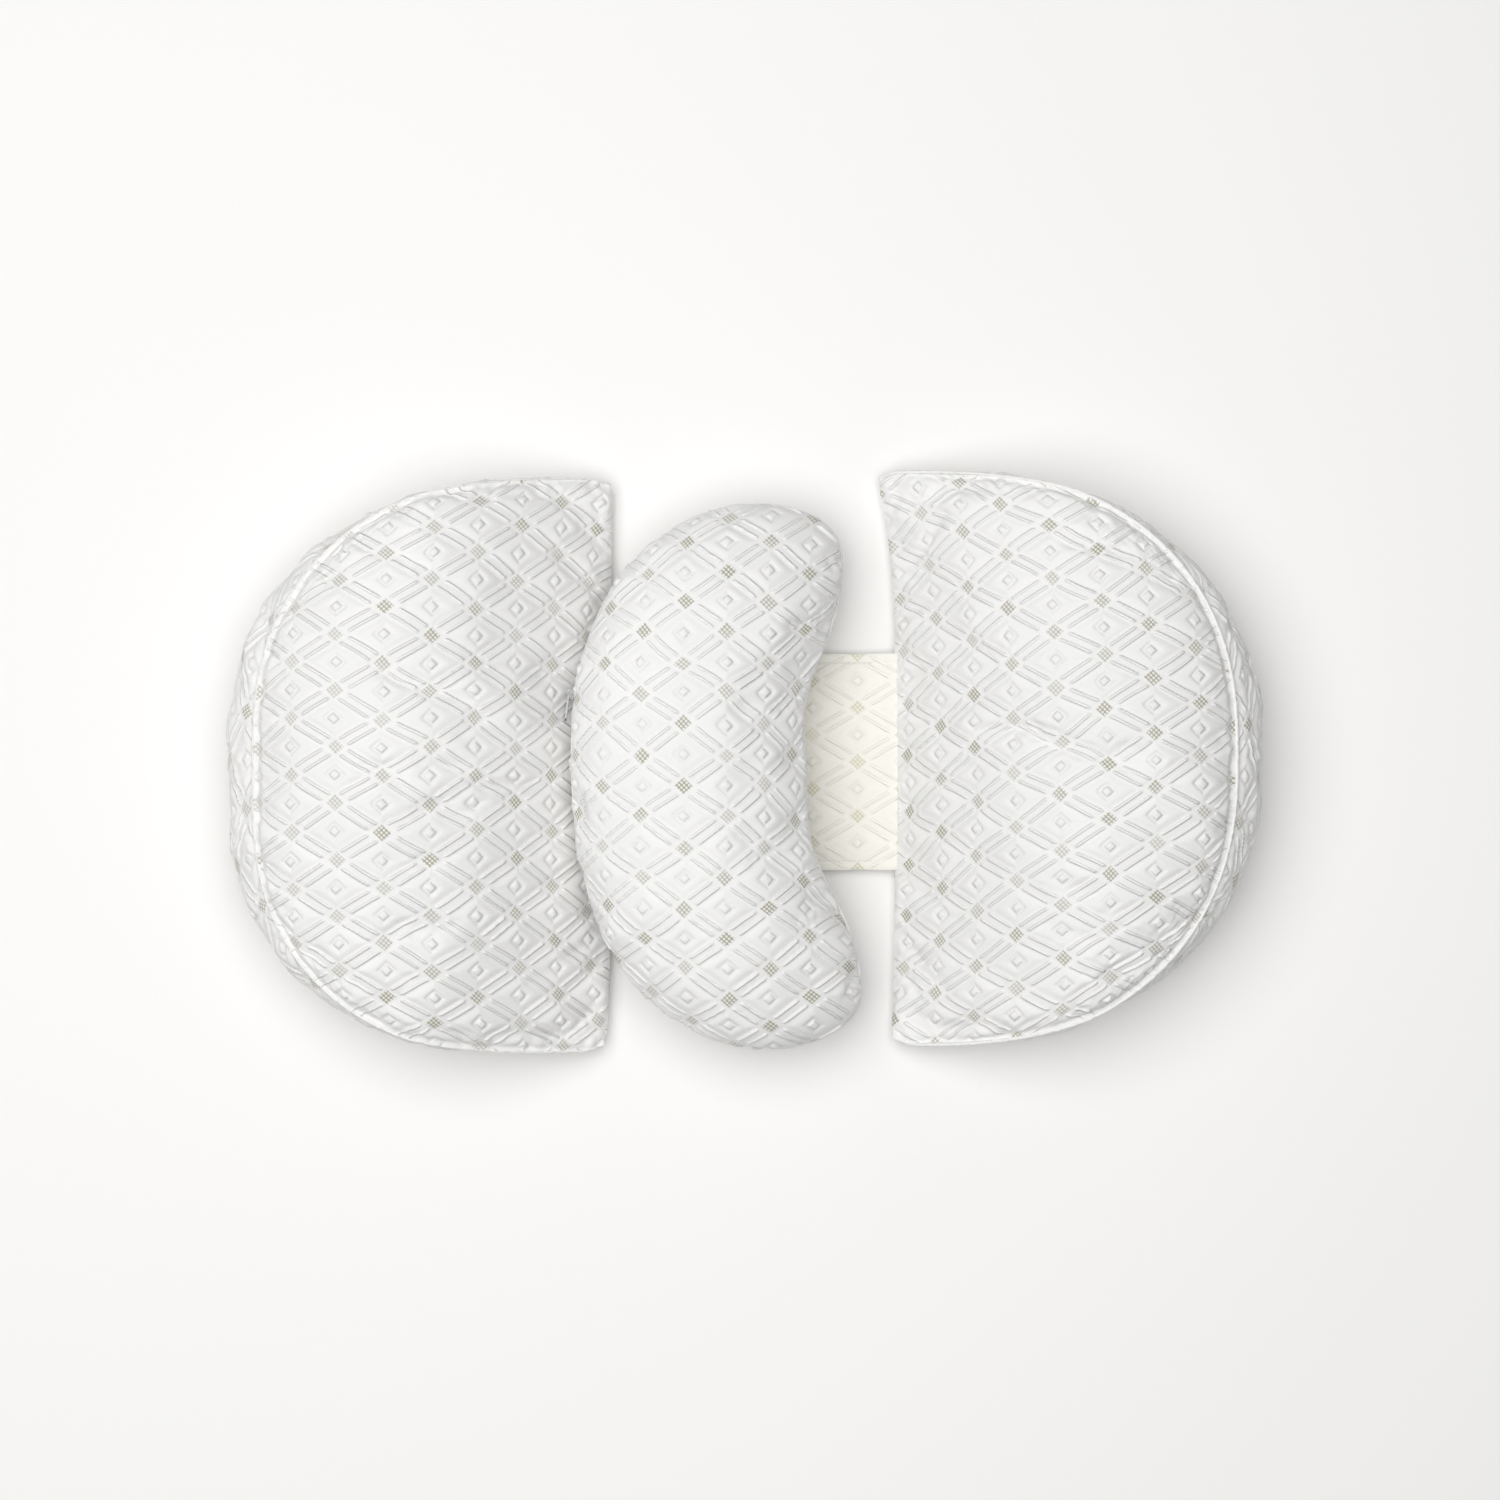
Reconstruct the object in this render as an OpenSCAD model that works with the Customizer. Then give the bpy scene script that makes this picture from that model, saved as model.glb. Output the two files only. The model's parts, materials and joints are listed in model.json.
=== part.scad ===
// Side-sleeper support pillow: two half-moon wedge cushions joined by a wide hook-and-loop strap,
// with a loose crescent cushion lying on the strap. Millimetres, +Z up. The left wedge is at -X,
// "back" is +Y and "front" is -Y. The pillow rests on z = 0 under the middle of its own box.

/* [Wedges] */
// Distance from the middle of the pillow to the outer end of each wedge
half_length = 350; // [340:1:360]
// Height of a wedge at its crown
crown_h = 116; // [108:1:124]
// Distance of the crown from the middle of the pillow
crown_x = 215; // [205:1:225]
// Height of the seam along the thin straight edge
nose_z = 14; // [13:1:16]
// Height of the gusset's top seam at the outer end
seam_h = 88; // [76:1:94]
// Height of the gusset's bottom seam at the outer end
foot_z = 12; // [11:1:13]
// How far the gusset bulges past its top seam at the outer end
gusset_bulge = 20; // [12:1:26]
// How far the bottom seam is tucked under at the outer end
foot_tuck = 12; // [8:1:16]

/* [Left wedge outline] */
// Straight edge's distance from the middle of the pillow
left_edge_x = 93; // [90:1:95]
// Back and front corners' distances from the middle of the pillow
left_corner_x = [91, 96];
// Reach of the back and front corners from the pillow's long axis
left_reach = [195, 199.5];
// Fullness of the back and front halves of the arc, 2 being an ellipse
left_fullness = [2.45, 2.7];

/* [Right wedge outline] */
// Straight edge's distance from the middle of the pillow
right_edge_x = 104; // [103:1:106]
// Back and front corners' distances from the middle of the pillow
right_corner_x = [90, 101];
// Reach of the back and front corners from the pillow's long axis
right_reach = [199.5, 195];
// Fullness of the back and front halves of the arc, 2 being an ellipse
right_fullness = [2.45, 2.25];

/* [Crescent] */
// Width of the crescent at its middle
bump_w = 158; // [140:1:160]
// Height of the crescent's seam above its underside
bump_low = 50; // [48:1:52]
// Height of the crescent's crown above its seam
bump_high = 50; // [40:1:55]
// Radius of the crescent's centre line
bump_bend = 170; // [168:1:176]
// Outward drift of the centre line halfway to each tip
bump_drift = 8; // [0:1:10]
// Angle from the crescent's middle to each tip
bump_half_angle = 69; // [66:1:70]
// Turn of the crescent in plan
bump_turn = 2.6; // [0:0.1:4]

/* [Strap] */
// Width of the strap
strap_w = 150; // [120:1:160]
// Thickness of the quilted strap
strap_t = 3; // [2:0.5:3]
// Height of the strap's lower half above the floor
strap_lift = 0.5; // [0.3:0.1:0.8]
// Width of the hook and loop patches
patch_w = 130; // [100:1:140]
// Thickness of a hook or loop patch
patch_t = 1.2; // [1:0.1:1.5]

/* [Fabric layers] */
// Thickness of the quilted cover
cover_t = 2.5; // [2:0.1:2.8]
// Thickness of the inner lining
lining_t = 0.8; // [0.5:0.1:1]

/* [Zippers] */
// Width of the gap in the cover that a zipper closes
zip_gap = 12.5; // [12:0.5:13]
// Half the length of the cover opening on a wedge
zip_half = 100; // [80:1:105]
// Thickness of the zipper tape
tape_t = 0.8; // [0.6:0.1:1]
// Length of a zipper pull
pull_l = 20; // [14:1:24]

/* [Hidden] */

fabric = "whitesmoke";
lining = "white";
fibre = "snow";
tape = "gainsboro";
metal = "dimgray";

clearance = 0.3;           // between bodies that move past each other
layer_gap = 1.0;           // between a cover and the lining inside it
lining_out = cover_t + layer_gap;
lining_in = lining_out + lining_t;
fill_out = lining_in + 1.5;

// A wedge: side of the pillow, straight edge, corners, reaches, fullnesses
LEFT = [-1, left_edge_x, left_corner_x, left_reach, left_fullness];
RIGHT = [1, right_edge_x, right_corner_x, right_reach, right_fullness];
arc_steps = 26;            // steps from the back corner round to the front corner
edge_steps = 13;           // points between the corners along the straight edge
rim_n = arc_steps + 1 + edge_steps;

// Steps from the seam in to the crown, and from the bottom seam in to the flat underside
top_steps = [1, 0.93, 0.82, 0.66, 0.45, 0.22];
under_insets = [0, 5, 14, 30];
under_heights = [1, 0.5, 0.15, 0];
slope_run = 130;           // length of the lean slope, measured from the straight edge
gusset_steps = [0, 0.22, 0.45, 0.72, 1];
bulge_at = 0.45;           // widest level of the gusset, as a part of its height from the top seam

// ---- surfaces built as grids of points ----

// Triangles between neighbouring rows of a grid whose points start at base
function quads(rows, cols, wrap, base) = [
    for (r = [0 : rows - 2], c = [0 : cols - (wrap ? 1 : 2)])
        let (a = base + r * cols + c, b = base + r * cols + (c + 1) % cols)
            each [[a, b, a + cols], [b, b + cols, a + cols]]
];
function turned(faces) = [for (f = faces) [f[2], f[1], f[0]]];
function fan(ring, n, pole) = [for (c = [0 : n - 1]) [ring + c, ring + (c + 1) % n, pole]];
function flat_list(rows) = [for (row = rows) each row];

// A closed shell between two rings-and-pole surfaces that share their rim
module dish(outer, outer_pole, inner, inner_pole, flip) {
    n = len(outer[0]);
    k = len(outer);
    second = k * n + 1;
    rim = [for (c = [0 : n - 1]) let (d = (c + 1) % n)
        each [[d, c, second + d], [c, second + c, second + d]]];
    faces = concat(
        quads(k, n, true, 0), fan((k - 1) * n, n, k * n), rim,
        turned(concat(quads(k, n, true, second), fan(second + (k - 1) * n, n, second + k * n))));
    polyhedron(
        points = concat(flat_list(outer), [outer_pole], flat_list(inner), [inner_pole]),
        faces = flip ? turned(faces) : faces, convexity = 6);
}

// A closed shell between two open grids of the same size
module slab(outer, inner, flip) {
    m = len(outer[0]);
    k = len(outer);
    second = k * m;
    last = (k - 1) * m;
    first_row = [for (c = [0 : m - 2]) let (b = c + 1)
        each [[b, c, second + b], [c, second + c, second + b]]];
    last_row = [for (c = [0 : m - 2]) let (a = last + c)
        each [[a, a + 1, second + a + 1], [a, second + a + 1, second + a]]];
    first_col = [for (r = [0 : k - 2]) let (a = r * m, b = a + m)
        each [[a, b, second + b], [a, second + b, second + a]]];
    last_col = [for (r = [0 : k - 2]) let (a = r * m + m - 1, b = a + m)
        each [[b, a, second + a], [b, second + a, second + b]]];
    faces = concat(quads(k, m, false, 0), turned(quads(k, m, false, second)),
        first_row, last_row, first_col, last_col);
    polyhedron(points = concat(flat_list(outer), flat_list(inner)),
        faces = flip ? turned(faces) : faces, convexity = 6);
}

// A closed solid of stacked rings with a pole at each end
module stack(rings, low_pole, high_pole, flip) {
    n = len(rings[0]);
    k = len(rings);
    faces = concat(quads(k, n, true, 0), fan((k - 1) * n, n, k * n), turned(fan(0, n, k * n + 1)));
    polyhedron(points = concat(flat_list(rings), [high_pole, low_pole]),
        faces = flip ? turned(faces) : faces, convexity = 4);
}

// ---- wedge geometry ----

function crown(w) = [w[0] * crown_x, 0];

// Half-ellipse-like arc, index 0 at the back corner and arc_steps at the front corner
function arc_point(w, angle) =
    let (k = angle >= 0 ? 0 : 1, e = 2 / w[4][k], corner = w[2][k])
    [w[0] * (corner + (half_length - corner) * pow(cos(angle), e)),
        sign(angle) * w[3][k] * pow(abs(sin(angle)), e)];
// Straight edge from the front corner to the back corner, flaring towards the corners
function edge_point(w, part) =
    let (y = w[3][0] * part - w[3][1] * (1 - part), k = y >= 0 ? 0 : 1)
    [w[0] * (w[1] + (w[2][k] - w[1]) * pow(abs(y) / w[3][k], 4)), y];
function rim_point(w, i) = i <= arc_steps
    ? arc_point(w, 90 - 180 * i / arc_steps)
    : edge_point(w, (i - arc_steps) / (edge_steps + 1));

// 0 along the straight edge and at the corners, 1 at the outer end
function outness(w, i) =
    let (p = rim_point(w, i), corner = w[2][p[1] >= 0 ? 0 : 1])
    i <= arc_steps ? max(0, (abs(p[0]) - corner) / (half_length - corner)) : 0;
function on_arc(i) = i <= arc_steps ? 1 : 0;
// Rise of the lean slope that climbs from the straight edge: 0 at the edge, 1 from slope_run inwards
function slope(run) = pow(1 - pow(1 - min(1, max(0, run) / slope_run), 1.5), 1.2);

// Share of the seam height kept at the two corners, before the slope
side_share = 0.78;
// Height that the seam would have with no slope, which fades to the crown's along the straight edge
function full_seam_z(w, i) =
    let (y = rim_point(w, i)[1], k = y >= 0 ? 0 : 1, side_z = side_share * seam_h)
    i <= arc_steps ? side_z + (seam_h - side_z) * outness(w, i)
        : crown_h - (crown_h - side_z) * pow(abs(y) / w[3][k], 4);
function sloped_z(z, run) = nose_z + (z - nose_z) * slope(run);
function rim_run(w, i) = outness(w, i) * (half_length - w[1]);
function top_seam_z(w, i) = on_arc(i) * 0.5 + sloped_z(full_seam_z(w, i), rim_run(w, i));
function low_seam_z(w, i) = nose_z + on_arc(i) * (-0.5 + (foot_z - nose_z + 0.5) * outness(w, i));
function top_seam_in(w, i) = gusset_bulge * pow(max(0, 2 * outness(w, i) - 1), 1.5);
function low_seam_in(w, i) = foot_tuck * pow(outness(w, i), 0.5);
// Lower edge of the gusset, raised where the zipper takes its place, to zip_margin past its ends.
// Outness over a half marks the far side of the arc
zip_margin = 19;
function gusset_low_z(w, i) = low_seam_z(w, i)
    + (abs(rim_point(w, i)[1]) < zip_half + zip_margin && outness(w, i) > 0.5 ? zip_gap : 0);

// Height of a surface that lies depth inside the cover's outer face
function inner_z(z, depth) = z >= nose_z
    ? nose_z + (z - nose_z) * (1 - depth / (crown_h - nose_z))
    : nose_z - (nose_z - z) * (1 - depth / nose_z);
function wedge_point(w, i, inset, z, depth) =
    let (c = crown(w), p = rim_point(w, i), r = norm(p - c), k = (1 - inset / r) * (1 - depth / r))
    concat(c + (p - c) * k, [inner_z(z, depth)]);

// Top panel: a dome from the crown down to the seam, cut down by the slope near the straight edge
function top_ring(w, s, depth) = [for (i = [0 : rim_n - 1])
    let (c = crown(w), r = norm(rim_point(w, i) - c), seam_r = r - top_seam_in(w, i),
        seam = full_seam_z(w, i), z = seam + (crown_h - seam) * pow(1 - pow(s, 2.2), 0.75),
        run = rim_run(w, i) * s + (crown_x - w[1]) * (1 - s))
    wedge_point(w, i, r - seam_r * s, on_arc(i) * 0.5 * s + sloped_z(z, run), depth)];
function under_ring(w, k, depth) = [for (i = [0 : rim_n - 1])
    wedge_point(w, i, low_seam_in(w, i) + under_insets[k], low_seam_z(w, i) * under_heights[k], depth)];
function gusset_inset(w, i, f) = f < bulge_at
    ? top_seam_in(w, i) * pow(1 - f / bulge_at, 2)
    : low_seam_in(w, i) * pow((f - bulge_at) / (1 - bulge_at), 2);
function gusset_point(w, i, step, low_z, depth) =
    let (high = top_seam_z(w, i), z = high + (low_z - high) * step,
        f = (high - z) / (high - low_seam_z(w, i)))
    wedge_point(w, i, gusset_inset(w, i, f), z, depth);
function gusset_row(w, step, depth) = [for (i = [0 : arc_steps])
    gusset_point(w, i, step, gusset_low_z(w, i), depth)];
// Whole ring at the gusset's widest level, for the bodies inside the cover
function waist_ring(w, depth) = [for (i = [0 : rim_n - 1]) i <= arc_steps
    ? gusset_point(w, i, bulge_at, low_seam_z(w, i), depth)
    : wedge_point(w, i, 0, nose_z, depth)];
function pole_at(w, z, depth) = concat(crown(w), [inner_z(z, depth)]);

module wedge_top(w, out, in)
    dish([for (s = top_steps) top_ring(w, s, out)], pole_at(w, crown_h, out),
        [for (s = top_steps) top_ring(w, s, in)], pole_at(w, crown_h, in), w[0] < 0);
module wedge_under(w, out, in)
    dish([for (k = [0 : 3]) under_ring(w, k, out)], pole_at(w, 0, out),
        [for (k = [0 : 3]) under_ring(w, k, in)], pole_at(w, 0, in), w[0] > 0);
// The lining is cut at the waist, so its top half takes in the upper gusset
module wedge_lining_top(w)
    dish(concat([waist_ring(w, lining_out)], [for (s = top_steps) top_ring(w, s, lining_out)]),
        pole_at(w, crown_h, lining_out),
        concat([waist_ring(w, lining_in)], [for (s = top_steps) top_ring(w, s, lining_in)]),
        pole_at(w, crown_h, lining_in), w[0] < 0);
module wedge_lining_bottom(w)
    dish(concat([waist_ring(w, lining_out)], [for (k = [0 : 3]) under_ring(w, k, lining_out)]),
        pole_at(w, 0, lining_out),
        concat([waist_ring(w, lining_in)], [for (k = [0 : 3]) under_ring(w, k, lining_in)]),
        pole_at(w, 0, lining_in), w[0] > 0);
module wedge_fill(w)
    stack(concat([for (k = [3 : -1 : 0]) under_ring(w, k, fill_out)], [waist_ring(w, fill_out)],
        [for (s = top_steps) top_ring(w, s, fill_out)]),
        pole_at(w, 0, fill_out), pole_at(w, crown_h, fill_out), w[0] < 0);
module wedge_gusset(w)
    slab([for (s = [len(gusset_steps) - 1 : -1 : 0]) gusset_row(w, gusset_steps[s], 0)],
        [for (s = [len(gusset_steps) - 1 : -1 : 0]) gusset_row(w, gusset_steps[s], cover_t)], w[0] < 0);

// ---- crescent geometry ----

bump_base = strap_lift + 2 * strap_t + 2 * patch_t + 2 * clearance;
bump_mid = [-38, -12];   // middle of the crescent in plan
bump_centre = bump_mid + bump_bend * [cos(bump_turn), sin(bump_turn)];
bump_stations = [-0.995, -0.975, -0.94, -0.89, -0.82, -0.73, -0.62, -0.5, -0.37, -0.24, -0.12,
    0, 0.12, 0.24, 0.37, 0.5, 0.62, 0.73, 0.82, 0.89, 0.94, 0.975, 0.995];
bump_zip_y = [-100, 55];   // front and back ends of the crescent's zipper
bump_zip_drop = 2;         // the seam sinks this much along the zipper
bump_zip_z = bump_base + bump_low - bump_zip_drop - zip_gap / 2;
section_steps = 10;

function bump_taper(u) = 1 - pow(abs(u), 3.2);
function bump_angle(u, depth) = u * (bump_half_angle - depth / bump_bend * 180 / PI);
// Height of the seam line, which sinks towards the tips
function bump_seam_z(angle) = bump_base + bump_low * (1 - 0.45 * pow(abs(angle) / bump_half_angle, 2));
// A point of the crescent's section; turn 0 is the convex side, 90 the crown, 180 the hollow side
function bump_point(u, turn, depth) =
    let (angle = bump_angle(u, depth), lift = bump_seam_z(angle) - bump_base,
        full = turn > 0 && turn < 180 ? 2.1 : 2.3,
        half_w = bump_w / 2 * pow(bump_taper(u), 0.62) * (1 - 2 * depth / bump_w),
        half_h = (turn > 0 && turn < 180 ? bump_high : lift) * pow(bump_taper(u), 0.5)
            * (1 - depth / lift),
        across = sign(cos(turn)) * pow(abs(cos(turn)), 2 / full),
        up = sign(sin(turn)) * pow(abs(sin(turn)), 2 / full),
        r = bump_bend + bump_drift * (1 - cos(360 * angle / bump_half_angle)) / 2 + half_w * across,
        heading = 180 + bump_turn + angle)
    [bump_centre[0] + r * cos(heading), bump_centre[1] + r * sin(heading),
        bump_seam_z(angle) + half_h * up];
// The lower panel's outer rim drops below the seam where the zipper takes its place, and to
// bump_zip_margin past its ends
bump_zip_margin = 30;
function in_zip(u) = let (y = bump_point(u, 0, 0)[1])
    y > bump_zip_y[0] - bump_zip_margin && y < bump_zip_y[1] + bump_zip_margin;
function rim_turn(u, least) = in_zip(u)
    ? -asin(pow((zip_gap + bump_zip_drop + 0.5) / bump_low, 1.15)) : -least;
function high_grid(depth) = [for (u = bump_stations)
    [for (s = [0 : section_steps]) bump_point(u, 180 * s / section_steps, depth)]];
// Rows below the zipper; a lining has one more row, which reaches up to the seam
function low_grid(depth, lined) = [for (u = bump_stations) let (start = rim_turn(u, lined ? 3 : 0))
    concat(lined ? [bump_point(u, 0, depth)] : [],
        [for (s = [0 : section_steps]) bump_point(u, start + (-180 - start) * s / section_steps, depth)])];

module bump_shell_top(out, in) slab(high_grid(out), high_grid(in), false);
module bump_shell_bottom(out, in, lined) slab(low_grid(out, lined), low_grid(in, lined), true);

// ---- zippers ----

// Centre and radius of the circle through three points of a seam line
function circle_through(a, b, c) =
    let (d = 2 * (a[0] * (b[1] - c[1]) + b[0] * (c[1] - a[1]) + c[0] * (a[1] - b[1])),
        x = ((a * a) * (b[1] - c[1]) + (b * b) * (c[1] - a[1]) + (c * c) * (a[1] - b[1])) / d,
        y = ((a * a) * (c[0] - b[0]) + (b * b) * (a[0] - c[0]) + (c * c) * (b[0] - a[0])) / d)
    [[x, y], norm([x, y] - a)];
function plan(p) = [p[0], p[1]];
function arc_angle_at(w, y) = let (k = y >= 0 ? 0 : 1) sign(y) * asin(pow(abs(y) / w[3][k], w[4][k] / 2));
// Share of the foot tuck that the cover has at the zipper's height
zip_tuck = 0.62;
function wedge_zip_point(w, y) =
    let (p = arc_point(w, arc_angle_at(w, y)), c = crown(w), r = norm(p - c))
    c + (p - c) * (1 - foot_tuck * zip_tuck / r);
wedge_zip_z = foot_z + zip_gap / 2;
left_circle = circle_through(wedge_zip_point(LEFT, zip_half), wedge_zip_point(LEFT, 0),
    wedge_zip_point(LEFT, -zip_half));
right_circle = circle_through(wedge_zip_point(RIGHT, zip_half), wedge_zip_point(RIGHT, 0),
    wedge_zip_point(RIGHT, -zip_half));
// Stations along the crescent, and turn around its section, that its zipper passes through
bump_zip_u = [-0.23, 0.03, 0.29];
bump_zip_turn = -8;
bump_circle = circle_through(plan(bump_point(bump_zip_u[0], bump_zip_turn, 0)),
    plan(bump_point(bump_zip_u[1], bump_zip_turn, 0)), plan(bump_point(bump_zip_u[2], bump_zip_turn, 0)));

// Heading of the circle's point at height y of the plan, on the side that dir faces
function heading_at(circle, dir, y) =
    let (a = asin((y - circle[0][1]) / circle[1])) dir > 0 ? a : 180 - a;
// A zipper: centre, radius of the tape's outer face, middle height, start and end headings,
// slider's heading
function zipper(circle, proud, z, dir, ends, slider_y) =
    let (a = heading_at(circle, dir, ends[0]), b = heading_at(circle, dir, ends[1]))
    [circle[0], circle[1] + proud, z, min(a, b), max(a, b), heading_at(circle, dir, slider_y)];
wedge_tape_proud = 1;      // tape's outer face past the circle, on a wedge and on the crescent
bump_tape_proud = 0.4;
wedge_park = 12;           // distance of a closed slider from the end of its opening
bump_park = 8;
LEFT_ZIP = zipper(left_circle, wedge_tape_proud, wedge_zip_z, -1, [-zip_half, zip_half],
    wedge_park - zip_half);
RIGHT_ZIP = zipper(right_circle, wedge_tape_proud, wedge_zip_z, 1, [-zip_half, zip_half],
    wedge_park - zip_half);
BUMP_ZIP = zipper(bump_circle, bump_tape_proud, bump_zip_z, -1, bump_zip_y, bump_zip_y[1] - bump_park);
tape_edge = 0.4;           // between a tape's edge and the cover
tape_slit = 0.2;           // from the middle of the zipper to each tape
coil_h = 3.1;
coil_proud = 1.6;
slider_l = 10;
slider_h = 8.4;
slider_t = 1.4;
lug_x = 5.6;               // distance of the pull's pin from the tape
lug_r = 1.7;               // a lug's round end
lug_t = 1.8;
lug_z = 3.1;               // height of a lug's middle above the coil's
pin_r = 0.7;
pin_l = 7.6;
pin_play = 0.08;           // room for the pin to turn in its lugs
pull_w = 3.6;              // width of the pull at its pin
pull_end_r = 2.6;          // its round end
pull_hole_r = 1.1;
pull_hole_in = 3.2;        // distance of its hole from its tip
pull_t = 1.2;

module ring_strip(z, from_angle, to_angle, r_in, r_out, z_low, z_high)
    rotate([0, 0, from_angle]) rotate_extrude(angle = to_angle - from_angle, $fn = 360)
        translate([r_in, z + z_low]) square([r_out - r_in, z_high - z_low]);
module zip_tape(zip) color(tape) translate([zip[0][0], zip[0][1], 0]) {
    half = zip_gap / 2 - tape_edge;
    ring_strip(zip[2], zip[3], zip[4], zip[1] - tape_t, zip[1], tape_slit, half);
    ring_strip(zip[2], zip[3], zip[4], zip[1] - tape_t, zip[1], -half, -tape_slit);
}
module zip_coil(zip) color("silver") translate([zip[0][0], zip[0][1], 0])
    ring_strip(zip[2], zip[3], zip[4], zip[1], zip[1] + coil_proud, -coil_h / 2, coil_h / 2);
// Moves a piece built at the origin, facing +X, to the slider's place on its zipper
module at_slider(zip) translate([zip[0][0], zip[0][1], 0]) rotate([0, 0, zip[5]])
    translate([zip[1], 0, zip[2]]) children();
module zip_slider(zip) color(metal) at_slider(zip) {
    difference() {
        union() {
            translate([coil_proud + clearance, -slider_l / 2, -slider_h / 2])
                cube([slider_t, slider_l, slider_h]);
            for (side = [-1, 1]) translate([0, 0, side * lug_z - lug_t / 2]) {
                translate([coil_proud + clearance, -lug_r, 0])
                    cube([lug_x - coil_proud - clearance, 2 * lug_r, lug_t]);
                translate([lug_x, 0, 0]) cylinder(r = lug_r, h = lug_t, $fn = 32);
            }
        }
        translate([lug_x, 0, -slider_h]) cylinder(r = pin_r + pin_play, h = 2 * slider_h, $fn = 32);
    }
}
// The pull lies flat along its zipper; reach is the direction it lies in
module zip_pull(zip, reach) color(metal) at_slider(zip) {
    translate([lug_x, 0, -pin_l / 2]) cylinder(r = pin_r, h = pin_l, $fn = 32);
    translate([lug_x - pull_t / 2, 0, 0]) rotate([90, 0, 90]) linear_extrude(pull_t)
        difference() {
            hull() {
                translate([0, -pull_w / 2]) square([0.1, pull_w]);
                translate([reach * (pull_l - pull_end_r), 0]) circle(r = pull_end_r, $fn = 32);
            }
            translate([reach * (pull_l - pull_hole_in), 0]) circle(r = pull_hole_r, $fn = 32);
        }
}

// ---- strap ----

lower_z = strap_lift;
loop_z = lower_z + strap_t;
hook_z = loop_z + patch_t + clearance;
upper_z = hook_z + patch_t;
left_tail_x = 45;          // free end of the lower half, under the crescent
right_tail_x = -55;        // free end of the upper half, under the crescent
ramp = 13;                 // run of the strap up to the wedge's seam

module strap_run(points) color("ivory") translate([0, strap_w / 2, 0]) rotate([90, 0, 0])
    linear_extrude(strap_w) polygon(points);
module strap_patch(x_from, x_to, z) translate([x_from, -patch_w / 2, z])
    cube([x_to - x_from, patch_w, patch_t]);

// ---- nodes ----

module left_cover_top() color(fabric) wedge_top(LEFT, 0, cover_t);
module left_gusset() color(fabric) wedge_gusset(LEFT);
module left_cover_bottom() color(fabric) wedge_under(LEFT, 0, cover_t);
module left_lining_top() color(lining) wedge_lining_top(LEFT);
module left_lining_bottom() color(lining) wedge_lining_bottom(LEFT);
module left_fill() color(fibre) wedge_fill(LEFT);
module left_zip_tape() zip_tape(LEFT_ZIP);
module left_zip_coil() zip_coil(LEFT_ZIP);
module left_zip_slider() zip_slider(LEFT_ZIP);
module left_zip_pull() zip_pull(LEFT_ZIP, -1);

module right_cover_top() color(fabric) wedge_top(RIGHT, 0, cover_t);
module right_gusset() color(fabric) wedge_gusset(RIGHT);
module right_cover_bottom() color(fabric) wedge_under(RIGHT, 0, cover_t);
module right_lining_top() color(lining) wedge_lining_top(RIGHT);
module right_lining_bottom() color(lining) wedge_lining_bottom(RIGHT);
module right_fill() color(fibre) wedge_fill(RIGHT);
module right_zip_tape() zip_tape(RIGHT_ZIP);
module right_zip_coil() zip_coil(RIGHT_ZIP);
module right_zip_slider() zip_slider(RIGHT_ZIP);
module right_zip_pull() zip_pull(RIGHT_ZIP, 1);

module bump_cover_top() color(fabric) bump_shell_top(0, cover_t);
module bump_cover_bottom() color(fabric) bump_shell_bottom(0, cover_t, false);
module bump_lining_top() color(lining) bump_shell_top(lining_out, lining_in);
module bump_lining_bottom() color(lining) bump_shell_bottom(lining_out, lining_in, true);
// The fill's upper and lower surfaces meet along the seam line
module bump_fill() color(fibre) {
    high = high_grid(fill_out);
    low = low_grid(fill_out, true);
    k = len(high);
    rings = [for (r = [0 : k - 1]) concat(high[r], [for (s = [section_steps : -1 : 1]) low[r][s]])];
    middle = [for (e = [0, k - 1])
        [for (axis = [0 : 2]) (rings[e][0][axis] + rings[e][section_steps][axis]) / 2]];
    stack(rings, middle[0], middle[1], false);
}
module bump_zip_tape() zip_tape(BUMP_ZIP);
module bump_zip_coil() zip_coil(BUMP_ZIP);
module bump_zip_slider() zip_slider(BUMP_ZIP);
module bump_zip_pull() zip_pull(BUMP_ZIP, 1);

module strap_left() strap_run([[left_tail_x, lower_z], [ramp - left_edge_x, lower_z],
    [-left_edge_x, nose_z - 2], [-left_edge_x, nose_z + 1], [ramp - left_edge_x, loop_z],
    [left_tail_x, loop_z]]);
module strap_right() strap_run([[right_tail_x, upper_z], [right_edge_x - ramp, upper_z],
    [right_edge_x - 1, nose_z - 2], [right_edge_x - 1, nose_z + 1],
    [right_edge_x - ramp, upper_z + strap_t], [right_tail_x, upper_z + strap_t]]);
patch_in = 3;              // from a strap's tail to its patch
loop_l = 87;
hook_l = 62;
module strap_loop_patch() color("white")
    strap_patch(left_tail_x - patch_in - loop_l, left_tail_x - patch_in, loop_z);
module strap_hook_patch() color("white")
    strap_patch(right_tail_x + patch_in, right_tail_x + patch_in + hook_l, hook_z);

left_cover_top();
left_gusset();
left_cover_bottom();
left_lining_top();
left_lining_bottom();
left_fill();
left_zip_tape();
left_zip_coil();
left_zip_slider();
left_zip_pull();
right_cover_top();
right_gusset();
right_cover_bottom();
right_lining_top();
right_lining_bottom();
right_fill();
right_zip_tape();
right_zip_coil();
right_zip_slider();
right_zip_pull();
bump_cover_top();
bump_cover_bottom();
bump_lining_top();
bump_lining_bottom();
bump_fill();
bump_zip_tape();
bump_zip_coil();
bump_zip_slider();
bump_zip_pull();
strap_left();
strap_right();
strap_loop_patch();
strap_hook_patch();
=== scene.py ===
import json
import math

import bmesh
import bpy
import numpy as np
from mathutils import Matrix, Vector
from mathutils.kdtree import KDTree


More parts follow.
